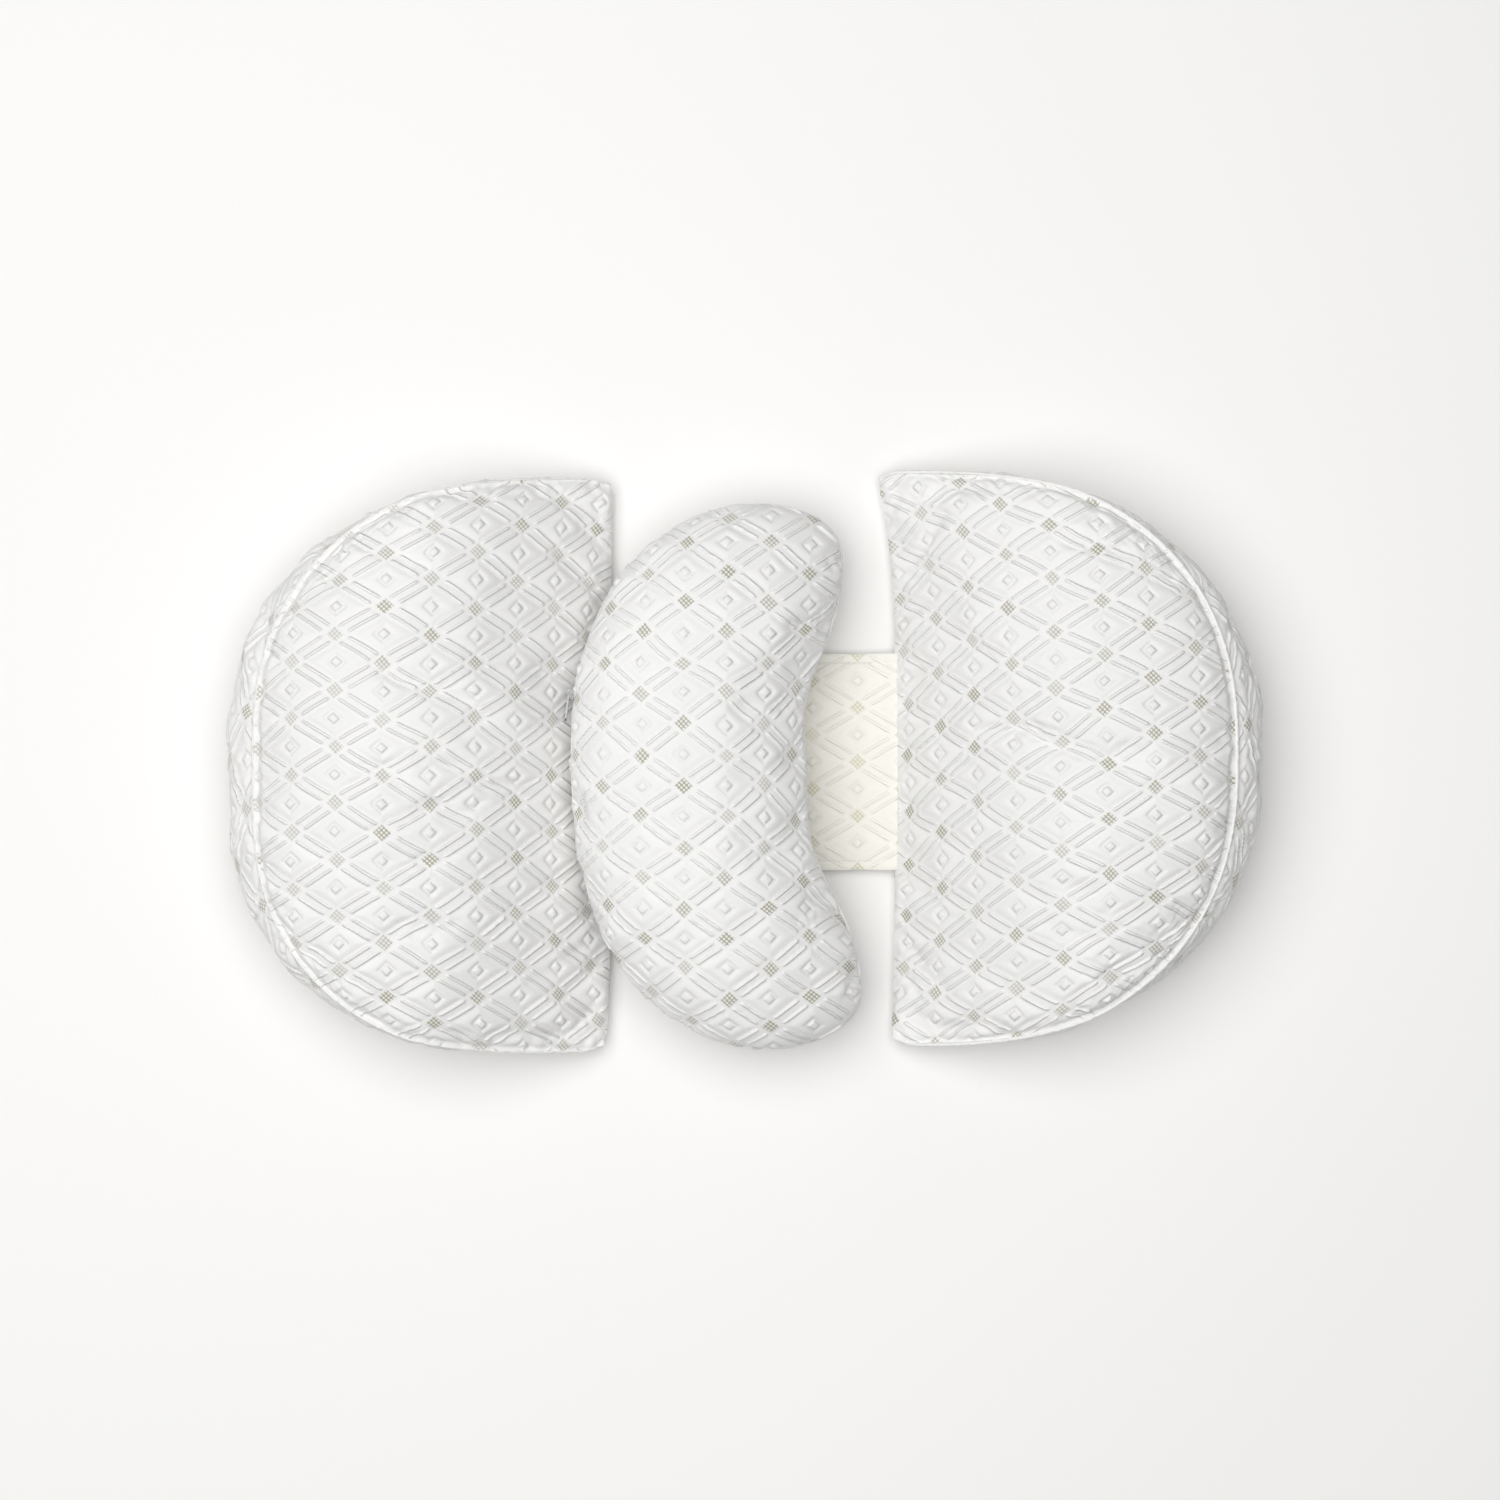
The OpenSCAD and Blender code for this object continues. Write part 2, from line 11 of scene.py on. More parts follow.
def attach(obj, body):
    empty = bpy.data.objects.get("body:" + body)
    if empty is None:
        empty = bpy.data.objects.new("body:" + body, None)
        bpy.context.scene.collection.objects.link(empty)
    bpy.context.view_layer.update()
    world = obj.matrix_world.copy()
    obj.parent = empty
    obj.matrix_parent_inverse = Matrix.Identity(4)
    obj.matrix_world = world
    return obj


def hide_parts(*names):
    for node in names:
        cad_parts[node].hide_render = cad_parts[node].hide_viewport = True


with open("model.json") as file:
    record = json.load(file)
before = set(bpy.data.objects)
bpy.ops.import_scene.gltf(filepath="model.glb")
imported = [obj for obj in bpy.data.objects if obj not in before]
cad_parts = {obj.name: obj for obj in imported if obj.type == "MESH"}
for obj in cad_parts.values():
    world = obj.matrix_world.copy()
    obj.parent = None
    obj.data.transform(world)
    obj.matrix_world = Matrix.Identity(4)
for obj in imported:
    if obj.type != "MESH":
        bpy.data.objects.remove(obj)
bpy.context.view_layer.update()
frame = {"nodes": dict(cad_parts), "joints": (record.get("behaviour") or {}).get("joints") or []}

MM = 0.001

# ---------------------------------------------------------------- grids


def ramp(x, lo, hi):
    """0 below lo, 1 above hi, smooth between."""
    t = np.clip((x - lo) / (hi - lo), 0.0, 1.0)
    return t * t * (3 - 2 * t)


def along(points, count):
    """count points evenly spaced by length along a polyline."""
    points = np.asarray(points, float)
    step = np.linalg.norm(np.diff(points, axis=0), axis=1)
    run = np.concatenate([[0], np.cumsum(step)])
    at = np.linspace(0, run[-1], count)
    return np.stack([np.interp(at, run, points[:, k]) for k in range(points.shape[1])], 1)


def finer(grid, rows, cols):
    """A smooth cubic resampling of an (r, c, k) grid to (rows, cols, k)."""
    for axis, count in ((0, rows), (1, cols)):
        g = np.moveaxis(grid, axis, 0)
        n = g.shape[0]
        at = np.linspace(0, n - 1, count)
        i = np.clip(at.astype(int), 0, n - 2)
        t = (at - i)[:, None, None]
        a, b = g[np.maximum(i - 1, 0)], g[i]
        c, d = g[i + 1], g[np.minimum(i + 2, n - 1)]
        a = np.where((i == 0)[:, None, None], 2 * b - c, a)
        d = np.where((i == n - 2)[:, None, None], 2 * c - b, d)
        g = b + 0.5 * t * (c - a + t * (2 * a - 5 * b + 4 * c - d + t * (3 * (b - c) + d - a)))
        grid = np.moveaxis(g, 0, axis)
    return grid


def normals(grid):
    n = np.cross(np.gradient(grid, axis=0), np.gradient(grid, axis=1))
    return n / np.maximum(np.linalg.norm(n, axis=2, keepdims=True), 1e-9)


def quads(rows, cols, wrap=False):
    """Faces of a row-major grid; wrap joins the last column to the first."""
    r, c = np.meshgrid(np.arange(rows - 1), np.arange(cols if wrap else cols - 1), indexing="ij")
    n = (c + 1) % cols
    return np.stack([r * cols + c, (r + 1) * cols + c, (r + 1) * cols + n, r * cols + n], 2).reshape(-1, 4)


def mesh_object(name, verts, faces, material=None, uv=None):
    """A smooth-shaded mesh from millimetre vertices; uv is per vertex."""
    mesh = bpy.data.meshes.new(name)
    verts = np.asarray(verts, float).reshape(-1, 3) * MM
    faces = np.asarray(faces, int)
    size = faces.shape[1]
    mesh.vertices.add(len(verts))
    mesh.vertices.foreach_set("co", verts.ravel())
    mesh.loops.add(faces.size)
    mesh.loops.foreach_set("vertex_index", faces.ravel())
    mesh.polygons.add(len(faces))
    mesh.polygons.foreach_set("loop_start", np.arange(len(faces)) * size)
    mesh.polygons.foreach_set("loop_total", np.full(len(faces), size))
    if uv is not None:
        layer = mesh.uv_layers.new(name="cloth")
        layer.data.foreach_set("uv", np.asarray(uv, float).reshape(-1, 2)[faces.ravel()].ravel())
    mesh.update(calc_edges=True)
    mesh.validate()
    mesh.polygons.foreach_set("use_smooth", np.full(len(mesh.polygons), True))
    obj = bpy.data.objects.new(name, mesh)
    bpy.context.collection.objects.link(obj)
    if material:
        mesh.materials.append(material)
    return obj


def grid_object(name, grid, material, uv, flip=False):
    faces = quads(*grid.shape[:2])
    return mesh_object(name, grid, faces[:, ::-1] if flip else faces, material, uv)


def ripple(x, y, seed, count=7, shortest=40.0):
    """A smooth pseudo-random field in about -1..1, as a fixed sum of waves."""
    rng = np.random.default_rng(seed)
    total = 0
    for _ in range(count):
        heading, phase = rng.uniform(0, 2 * math.pi, 2)
        wave = shortest * rng.uniform(1, 3.5)
        total = total + np.sin((x * math.cos(heading) + y * math.sin(heading)) * 2 * math.pi / wave + phase)
    return total / math.sqrt(count)


# ---------------------------------------------------------------- wedge form, as in the CAD

HALF_LENGTH, CROWN_H, CROWN_X, NOSE_Z, SEAM_H = 350.0, 116.0, 215.0, 14.0, 88.0
SIDE_Z = 0.78 * SEAM_H
ZIP_GAP, ZIP_HALF = 12.5, 95.0
ROLL_WIDTH, ROLL_DROP = 13.0, 4.5


def slope(run):
    return (1 - (1 - np.minimum(1, run / 130.0)) ** 1.5) ** 1.2


def sloped(z, run):
    return NOSE_Z + (z - NOSE_Z) * slope(run)


class Wedge:
    """Plan and height of one wedge. Its own x grows away from the middle; back is +y."""

    def __init__(self, side, edge_x, corner, reach, full):
        self.side, self.edge_x, self.corner, self.reach, self.full = side, edge_x, corner, reach, full
        a = np.radians(np.linspace(90, -90, 4001))
        arc_x, arc_y, q = self.arc(a)
        e_y = np.linspace(-reach[1], reach[0], 2001)[1:-1]
        self.arc_xy = np.stack([arc_x, arc_y], 1)
        self.edge_xy = np.stack([self.edge(e_y), e_y], 1)
        e_seam = CROWN_H - (CROWN_H - SIDE_Z) * (np.abs(e_y) / np.where(e_y >= 0, *reach)) ** 4
        x = np.concatenate([arc_x, self.edge_xy[:, 0]])
        y = np.concatenate([arc_y, e_y])
        theta = np.arctan2(y, x - CROWN_X)
        order = np.argsort(theta)
        self.theta = theta[order]
        self.radius = np.hypot(x - CROWN_X, y)[order]
        self.seam = np.concatenate([SIDE_Z + (SEAM_H - SIDE_Z) * q, e_seam])[order]
        self.out = np.concatenate([q, 0 * e_y])[order]

    def arc(self, a):
        k = np.where(a >= 0, 0, 1)
        corner, reach = np.array(self.corner)[k], np.array(self.reach)[k]
        power = 2 / np.array(self.full)[k]
        x = corner + (HALF_LENGTH - corner) * np.cos(a).clip(0) ** power
        return x, np.sign(a) * reach * np.abs(np.sin(a)) ** power, (x - corner) / (HALF_LENGTH - corner)

    def edge(self, y):
        k = np.where(y >= 0, 0, 1)
        corner, reach = np.array(self.corner)[k], np.array(self.reach)[k]
        return self.edge_x + (corner - self.edge_x) * (np.abs(y) / reach) ** 4

    def ask(self, x, y):
        """Rim radius, seam height and outness on the ray from the crown through (x, y)."""
        theta = np.arctan2(y, x - CROWN_X)
        tables = (self.radius, self.seam, self.out)
        return [np.interp(theta, self.theta, table, period=2 * math.pi) for table in tables]

    def top_z(self, x, y):
        radius, seam, out = self.ask(x, y)
        radius = radius - top_inset(out)
        s = np.minimum(1, np.hypot(x - CROWN_X, y) / radius)
        dome = seam + (CROWN_H - seam) * (1 - s**2.2) ** 0.75
        return sloped(dome, out * (HALF_LENGTH - self.edge_x) * s + (CROWN_X - self.edge_x) * (1 - s))

    def rounded(self, xy):
        """Draws plan points near the two sharp corners inwards, as a turned seam does."""
        xy = xy.copy()
        for corner, reach in zip(self.corner, (self.reach[0], -self.reach[1])):
            near = 1 - ramp(np.hypot(xy[..., 0] - corner, xy[..., 1] - reach), 0, 16)
            xy[..., 0] += 2.4 * near
            xy[..., 1] -= np.sign(reach) * 2.8 * near
        return xy

    def shoulder(self, x, y):
        """Height lost where the top rolls over the nose seam."""
        gap = np.clip(x - self.edge(y), 0, ROLL_WIDTH) / ROLL_WIDTH
        return ROLL_DROP * (1 - np.sqrt(1 - (1 - gap) ** 2))

    def patch(self, inset, rows, cols):
        """A four-sided plan grid: row 0 is the straight edge, the other three sides the arc."""
        xy = self.arc_xy
        radial = xy - [CROWN_X, 0]
        radial /= np.linalg.norm(radial, axis=1, keepdims=True)
        out = self.arc(np.radians(np.linspace(90, -90, len(xy))))[2]
        rim = xy - radial * inset(out)[:, None]
        third = len(rim) // 4
        back = along(rim[: third + 1], rows)
        outer = along(rim[third : len(rim) - third], cols)[::-1]
        front = along(rim[len(rim) - third - 1 :], rows)[::-1]
        nose = along(np.vstack([rim[-1], self.edge_xy, rim[0]]), cols)
        u, v = np.linspace(0, 1, rows)[:, None, None], np.linspace(0, 1, cols)[None, :, None]
        grid = (1 - v) * front[:, None] + v * back[:, None] + (1 - u) * nose[None] + u * outer[None]
        ends = (1 - u) * (1 - v) * nose[0] + (1 - u) * v * nose[-1]
        ends = ends + u * (1 - v) * outer[0] + u * v * outer[-1]
        return self.rounded(grid - ends)


def arc_rim(grid):
    """The three sides of a patch grid that follow the arc, from the back corner to the front one."""
    return np.vstack([grid[:, -1], grid[-1, ::-1][1:-1], grid[::-1, 0]])


def top_inset(out):
    """How far the top seam lies inside the widest line of the gusset."""
    return 20 * np.maximum(0, 2 * out - 1) ** 1.5


def foot_inset(out):
    """How far the bottom seam lies inside the widest line of the gusset."""
    return 12 * np.maximum(out, 0) ** 0.5


# ---------------------------------------------------------------- the knit, shared by mesh relief and shader


class Sock:
    """Arithmetic on shader sockets, so that the same formulas drive mesh relief and material."""

    def __init__(self, tree, out):
        self.tree, self.out = tree, out

    def math(self, operation, *others):
        node = self.tree.nodes.new("ShaderNodeMath")
        node.operation = operation
        for k, value in enumerate((self, *others)):
            if isinstance(value, Sock):
                self.tree.links.new(value.out, node.inputs[k])
            else:
                node.inputs[k].default_value = float(value)
        return Sock(self.tree, node.outputs[0])

    def __add__(self, other):
        return self.math("ADD", other)

    def __sub__(self, other):
        return self.math("SUBTRACT", other)

    def __mul__(self, other):
        return self.math("MULTIPLY", other)

    def __rsub__(self, other):
        return (self * -1.0) + other

    def __abs__(self):
        return self.math("ABSOLUTE")

    __radd__, __rmul__ = __add__, __mul__


def nearest(x):
    return x.math("ROUND") if isinstance(x, Sock) else np.round(x)


def sine(x):
    return x.math("SINE") if isinstance(x, Sock) else np.sin(x)


def lesser(a, b):
    return a.math("MINIMUM", b) if isinstance(a, Sock) else np.minimum(a, b)


def soft(x, lo, hi):
    """Smooth step from 0 at lo to 1 at hi, for numbers or sockets."""
    if not isinstance(x, Sock):
        return ramp(x, lo, hi)
    node = x.tree.nodes.new("ShaderNodeMapRange")
    node.interpolation_type = "SMOOTHSTEP"
    x.tree.links.new(x.out, node.inputs["Value"])
    node.inputs["From Min"].default_value = lo
    node.inputs["From Max"].default_value = hi
    return Sock(x.tree, node.outputs["Result"])


# Half sizes of the open-mesh mark and of the tuft, and how far each ridge lies from its line.
MARK_HALF, TUFT_HALF, RIDGE_OFF = (6.4, 5.9), (3.7, 3.4), 3.1


class Lattice:
    """Repeat of the diamond quilt: two step vectors and one mark, in cloth millimetres."""

    def __init__(self, a, b, mark):
        self.a, self.b, self.mark = a, b, mark
        self.det = a[0] * b[1] - a[1] * b[0]
        self.len_a, self.len_b = math.hypot(*a), math.hypot(*b)
        self.high_a, self.high_b = abs(self.det) / self.len_a, abs(self.det) / self.len_b

    def offset(self, s, t):
        return s * self.a[0] + t * self.b[0], s * self.a[1] + t * self.b[1]

    def parts(self, x, y):
        """Masks 0..1: open mesh marks, raised ridges, ribbed bands, puffed cells, tufts, tuft dimples."""
        x, y = x - self.mark[0], y - self.mark[1]
        s = (x * self.b[1] - y * self.b[0]) * (1 / self.det)
        t = (y * self.a[0] - x * self.a[1]) * (1 / self.det)
        ds, dt = s - nearest(s), t - nearest(t)
        mx, my = self.offset(ds, dt)
        mark = 1.0 - soft(abs(mx) * (1 / MARK_HALF[0]) + abs(my) * (1 / MARK_HALF[1]), 0.80, 1.06)
        across_a, across_b = abs(dt) * self.high_a, abs(ds) * self.high_b
        clear_a, clear_b = soft(abs(ds) * self.len_a, 6.2, 9.0), soft(abs(dt) * self.len_b, 6.2, 9.0)
        ridge = (1.0 - soft(abs(across_a - RIDGE_OFF), 0.2, 1.45)) * clear_a
        ridge = ridge + (1.0 - soft(abs(across_b - RIDGE_OFF), 0.2, 1.45)) * clear_b
        band = (1.0 - soft(across_a, 1.2, 2.4)) * clear_a + (1.0 - soft(across_b, 1.2, 2.4)) * clear_b
        puff = soft(lesser(across_a, across_b), 4.2, 10.0)
        hs, ht = s + 0.5, t + 0.5
        cx, cy = self.offset(hs - nearest(hs), ht - nearest(ht))
        centre = abs(cx) * (1 / TUFT_HALF[0]) + abs(cy) * (1 / TUFT_HALF[1])
        tuft = 1.0 - soft(centre, 0.7, 1.15)
        dimple = soft(centre, 0.9, 1.35) * (1.0 - soft(centre, 1.5, 2.3))
        return mark, ridge, band, puff, tuft, dimple

    def height(self, x, y):
        mark, ridge, band, puff, tuft, dimple = self.parts(x, y)
        return 1.15 * ridge + 0.45 * band + 0.95 * puff + 0.45 * tuft - 0.85 * dimple + 0.1 * mark


LEFT_KNIT = Lattice((31.35, 18.75), (31.35, -18.75), (-209.0, 10.0))
RIGHT_KNIT = Lattice((31.3, 20.9), (32.4, -15.6), (209.0, 14.3))
BUMP_KNIT = Lattice((28.0, 20.3), (28.0, -20.3), (-39.0, -15.3))
STRAP_KNIT = Lattice((31.35, 18.75), (31.35, -18.75), (78.0, 0.0))


def new_material(name):
    material = bpy.data.materials.new(name)
    material.use_nodes = True
    tree = material.node_tree
    shader = tree.nodes["Principled BSDF"]
    return material, tree, shader


def noise(tree, scale, detail=3.0):
    node = tree.nodes.new("ShaderNodeTexNoise")
    node.inputs["Scale"].default_value = scale
    node.inputs["Detail"].default_value = detail
    node.inputs["Roughness"].default_value = 0.55
    place = tree.nodes.new("ShaderNodeTexCoord")
    tree.links.new(place.outputs["Object"], node.inputs["Vector"])
    return Sock(tree, node.outputs["Fac"])


def mixed(tree, factor, first, second):
    """Colour mix; first and second are RGB tuples or colour sockets."""
    node = tree.nodes.new("ShaderNodeMix")
    node.data_type = "RGBA"
    tree.links.new(factor.out, node.inputs[0])
    for k, value in ((6, first), (7, second)):
        if isinstance(value, tuple):
            node.inputs[k].default_value = (*value, 1)
        else:
            tree.links.new(value, node.inputs[k])
    return node.outputs[2]


def bumped(tree, shader, height, distance, strength=1.0):
    node = tree.nodes.new("ShaderNodeBump")
    node.inputs["Strength"].default_value = strength
    node.inputs["Distance"].default_value = distance
    tree.links.new(height.out, node.inputs["Height"])
    tree.links.new(node.outputs["Normal"], shader.inputs["Normal"])


UV_MM = 100.0  # one UV unit is this many millimetres of cloth
# Millimetre repeats of the open mesh, of the ribs, and of the knit loops across and along.
NET_PITCH, RIB_PITCH, LOOP_WIDE, LOOP_HIGH = 2.3, 1.5, 1.1, 0.95


def knit_material(name, lattice, yarn, mesh_yarn, relief=1.0):
    """White air-layer knit: loops, ribbed bands, olive open-mesh marks, with a painted highlight on the
    ridges and painted shade in the tuft dimples.
    """
    material, tree, shader = new_material(name)
    uv = tree.nodes.new("ShaderNodeUVMap")
    uv.uv_map = "cloth"
    split = tree.nodes.new("ShaderNodeSeparateXYZ")
    tree.links.new(uv.outputs["UV"], split.inputs[0])
    x, y = Sock(tree, split.outputs[0]) * UV_MM, Sock(tree, split.outputs[1]) * UV_MM
    mark, ridge, band, puff, tuft, dimple = lattice.parts(x, y)
    turn = 2 * math.pi
    check = sine((x * 0.7 + y * 0.7) * (turn / NET_PITCH))
    check = check + 0.9 * sine((x * 0.7 - y * 0.7) * (turn / NET_PITCH))
    hatch = sine((x * 0.55 + y) * (turn / RIB_PITCH))
    loops = sine(x * (turn / LOOP_WIDE)) * sine(y * (turn / LOOP_HIGH))
    shade = noise(tree, 9.0, 4.0)
    weave = soft(check, -0.5, 0.2)
    base = mixed(tree, soft(shade, 0.3, 0.7), yarn, tuple(c * 0.965 for c in yarn))
    # Painted highlight: the raised ridges are made lighter than the yarn, standing in for their sheen.
    base = mixed(tree, lesser(ridge, 1.0) * 0.7, base, tuple(min(1.0, c * 1.07) for c in yarn))
    # Painted shade: the recessed dimple round each tuft is made darker than the yarn.
    base = mixed(tree, dimple * 0.16, base, tuple(c * 0.78 for c in yarn))
    net = mixed(tree, weave, tuple(0.94 * c for c in yarn), mesh_yarn)
    worn = soft(noise(tree, 14.0, 2.0), 0.36, 0.62) * 0.40 + 0.36
    base = mixed(tree, mark * worn, base, net)
    tree.links.new(base, shader.inputs["Base Color"])
    fibre = noise(tree, 900.0, 2.0)
    height = 0.95 * relief * ridge + 0.12 * ridge * hatch + 0.35 * puff + 0.35 * tuft - 0.35 * dimple
    height = height + 0.22 * mark * weave + 0.05 * band * hatch + 0.06 * loops + 0.12 * fibre
    bumped(tree, shader, height, 0.0011, 0.8)
    rough = noise(tree, 60.0) * 0.14 + 0.74 - 0.22 * lesser(ridge, 1.0)
    tree.links.new(rough.out, shader.inputs["Roughness"])
    shader.inputs["Sheen Weight"].default_value = 0.22
    shader.inputs["Sheen Roughness"].default_value = 0.5
    shader.inputs["Specular IOR Level"].default_value = 0.25
    return material


WHITE = (0.86, 0.855, 0.843)
OLIVE = (0.30, 0.28, 0.15)
knit_left = knit_material("knit_left", LEFT_KNIT, WHITE, OLIVE)
knit_right = knit_material("knit_right", RIGHT_KNIT, WHITE, OLIVE)
knit_bump = knit_material("knit_crescent", BUMP_KNIT, WHITE, OLIVE)
knit_welt = knit_material("knit_welt", LEFT_KNIT, WHITE, WHITE, 0.5)

# ---------------------------------------------------------------- cloth simulation


# Cloth pressure, frames run, greatest move in millimetres, and how much the cloth gives.
PUFF_PRESSURE, PUFF_FRAMES, PUFF_CAP, PUFF_SLACK = 5.0, 16, 7.0, 0.012


def inflate(name, grids, holds):
    """Simulates the closed body made of these millimetre grids as pressurised cloth.

    holds are weights 0..1 that keep each point at its place. Returns one displacement grid each.
    """
    verts, faces, weights = [], [], []
    for g, w in zip(grids, holds):
        faces.append(quads(*g.shape[:2]) + sum(len(v) for v in verts))
        verts.append(g.reshape(-1, 3))
        weights.append(np.broadcast_to(w, g.shape[:2]).ravel())
    verts, weights = np.concatenate(verts), np.concatenate(weights)
    obj = mesh_object(name, verts, np.concatenate(faces))
    bm = bmesh.new()
    bm.from_mesh(obj.data)
    bmesh.ops.remove_doubles(bm, verts=bm.verts, dist=1.5 * MM)
    bmesh.ops.recalc_face_normals(bm, faces=bm.faces)
    bm.to_mesh(obj.data)
    bm.free()
    raw, kept = KDTree(len(verts)), KDTree(len(obj.data.vertices))
    for k, v in enumerate(verts):
        raw.insert(v * MM, k)
    raw.balance()
    for v in obj.data.vertices:
        kept.insert(v.co, v.index)
    kept.balance()
    group = obj.vertex_groups.new(name="hold")
    for v in obj.data.vertices:
        group.add([v.index], float(weights[raw.find(v.co)[1]]), "REPLACE")
    start = np.array([v.co for v in obj.data.vertices])
    cloth = obj.modifiers.new("cloth", "CLOTH")
    s = cloth.settings
    s.quality, s.mass, s.air_damping = 6, 0.25, 4.0
    s.tension_stiffness = s.compression_stiffness = 18
    s.shear_stiffness, s.bending_stiffness = 6, 1.2
    s.vertex_group_mass, s.pin_stiffness = "hold", 1.0
    s.use_pressure, s.uniform_pressure_force = True, PUFF_PRESSURE
    s.shrink_min = s.shrink_max = -PUFF_SLACK
    s.effector_weights.gravity = 0
    cloth.collision_settings.use_collision = False
    cloth.point_cache.frame_end = PUFF_FRAMES + 2
    scene = bpy.context.scene
    for f in range(1, PUFF_FRAMES + 1):
        scene.frame_set(f)
    done = obj.evaluated_get(bpy.context.evaluated_depsgraph_get())
    move = np.array([v.co for v in done.data.vertices]) - start
    scene.frame_set(1)
    bpy.data.objects.remove(obj)
    move = np.nan_to_num(move / MM)
    size = np.linalg.norm(move, axis=1, keepdims=True)
    move *= PUFF_CAP * np.tanh(size / PUFF_CAP) / np.maximum(size, 1e-6)
    print(name, "moved mm", np.round(np.percentile(size, [50, 90, 100]), 2))
    at = np.array([kept.find(v * MM)[1] for v in verts])
    out, k = [], 0
    for g in grids:
        n = g.shape[0] * g.shape[1]
        out.append(move[at[k : k + n]].reshape(g.shape))
        k += n
    return out


# ---------------------------------------------------------------- wedges

COARSE_ROWS, COARSE_COLS = 43, 63
FINE = 5


def fabric_lengths(height, x_range, y_range, centre, step=2.0):
    """Cloth coordinates over a height field: lengths along the surface from centre."""
    xs, ys = np.arange(*x_range, step), np.arange(*y_range, step)
    gx, gy = np.meshgrid(xs, ys, indexing="ij")
    z = height(gx, gy)
    zx = np.clip(np.gradient(z, step, axis=0), -1.6, 1.6)
    zy = np.clip(np.gradient(z, step, axis=1), -1.6, 1.6)
    u = np.cumsum(np.sqrt(1 + zx**2), axis=0) * step
    v = np.cumsum(np.sqrt(1 + zy**2), axis=1) * step
    u += centre[0] - u[np.argmin(abs(xs - centre[0]))][None]
    v += centre[1] - v[:, np.argmin(abs(ys - centre[1]))][:, None]

    def at(x, y):
        fx = np.clip((x - xs[0]) / step, 0, len(xs) - 1.001)
        fy = np.clip((y - ys[0]) / step, 0, len(ys) - 1.001)
        i, j = fx.astype(int), fy.astype(int)
        a, b = fx - i, fy - j

        def blend(g):
            near = g[i, j] * (1 - b) + g[i, j + 1] * b
            far = g[i + 1, j] * (1 - b) + g[i + 1, j + 1] * b
            return near * (1 - a) + far * a

        return blend(u), blend(v)

    return at


def warped(u, v, seed, amount=0.9):
    """Cloth coordinates pulled a little out of true, as knit lies on a stuffed form."""
    return u + amount * ripple(u, v, seed + 40, 5, 34), v + amount * ripple(u, v, seed + 41, 5, 34)


def tube(name, path, radius, material, sides=8):
    """A round welt along a path; radius may vary along it."""
    path = np.asarray(path, float)
    tangent = np.gradient(path, axis=0)
    tangent /= np.maximum(np.linalg.norm(tangent, axis=1, keepdims=True), 1e-9)
    side = np.cross(tangent, [0, 0, 1.0])
    side /= np.maximum(np.linalg.norm(side, axis=1, keepdims=True), 1e-9)
    up = np.cross(side, tangent)
    a = np.linspace(0, 2 * math.pi, sides, endpoint=False)
    radius = np.broadcast_to(radius, len(path))[:, None, None]
    ring = side[:, None] * np.cos(a)[None, :, None] + up[:, None] * np.sin(a)[None, :, None]
    verts = path[:, None] + ring * radius
    run = np.concatenate([[0], np.cumsum(np.linalg.norm(np.diff(path, axis=0), axis=1))])
    uv = np.stack(np.broadcast_arrays(run[:, None] / UV_MM, a[None] / UV_MM), 2)
    return mesh_object(name, verts, quads(len(path), sides, wrap=True), material, uv)


# The crescent presses a hollow in the left pad under its zip pull.
PRESS_X, PRESS_Y, PRESS = 124, 47, 5
GUSSET_ROWS = 12
# Depth of the gusset's widest line, as a share of its height from the top.
WIDEST = 0.45
# Plan box of one wedge in its own frame.
PLAN_X, PLAN_Y = (80, 362), (-204, 208)
# Turns a bearing from the crown into millimetres of run along the seam.
RUN_RADIUS = 165


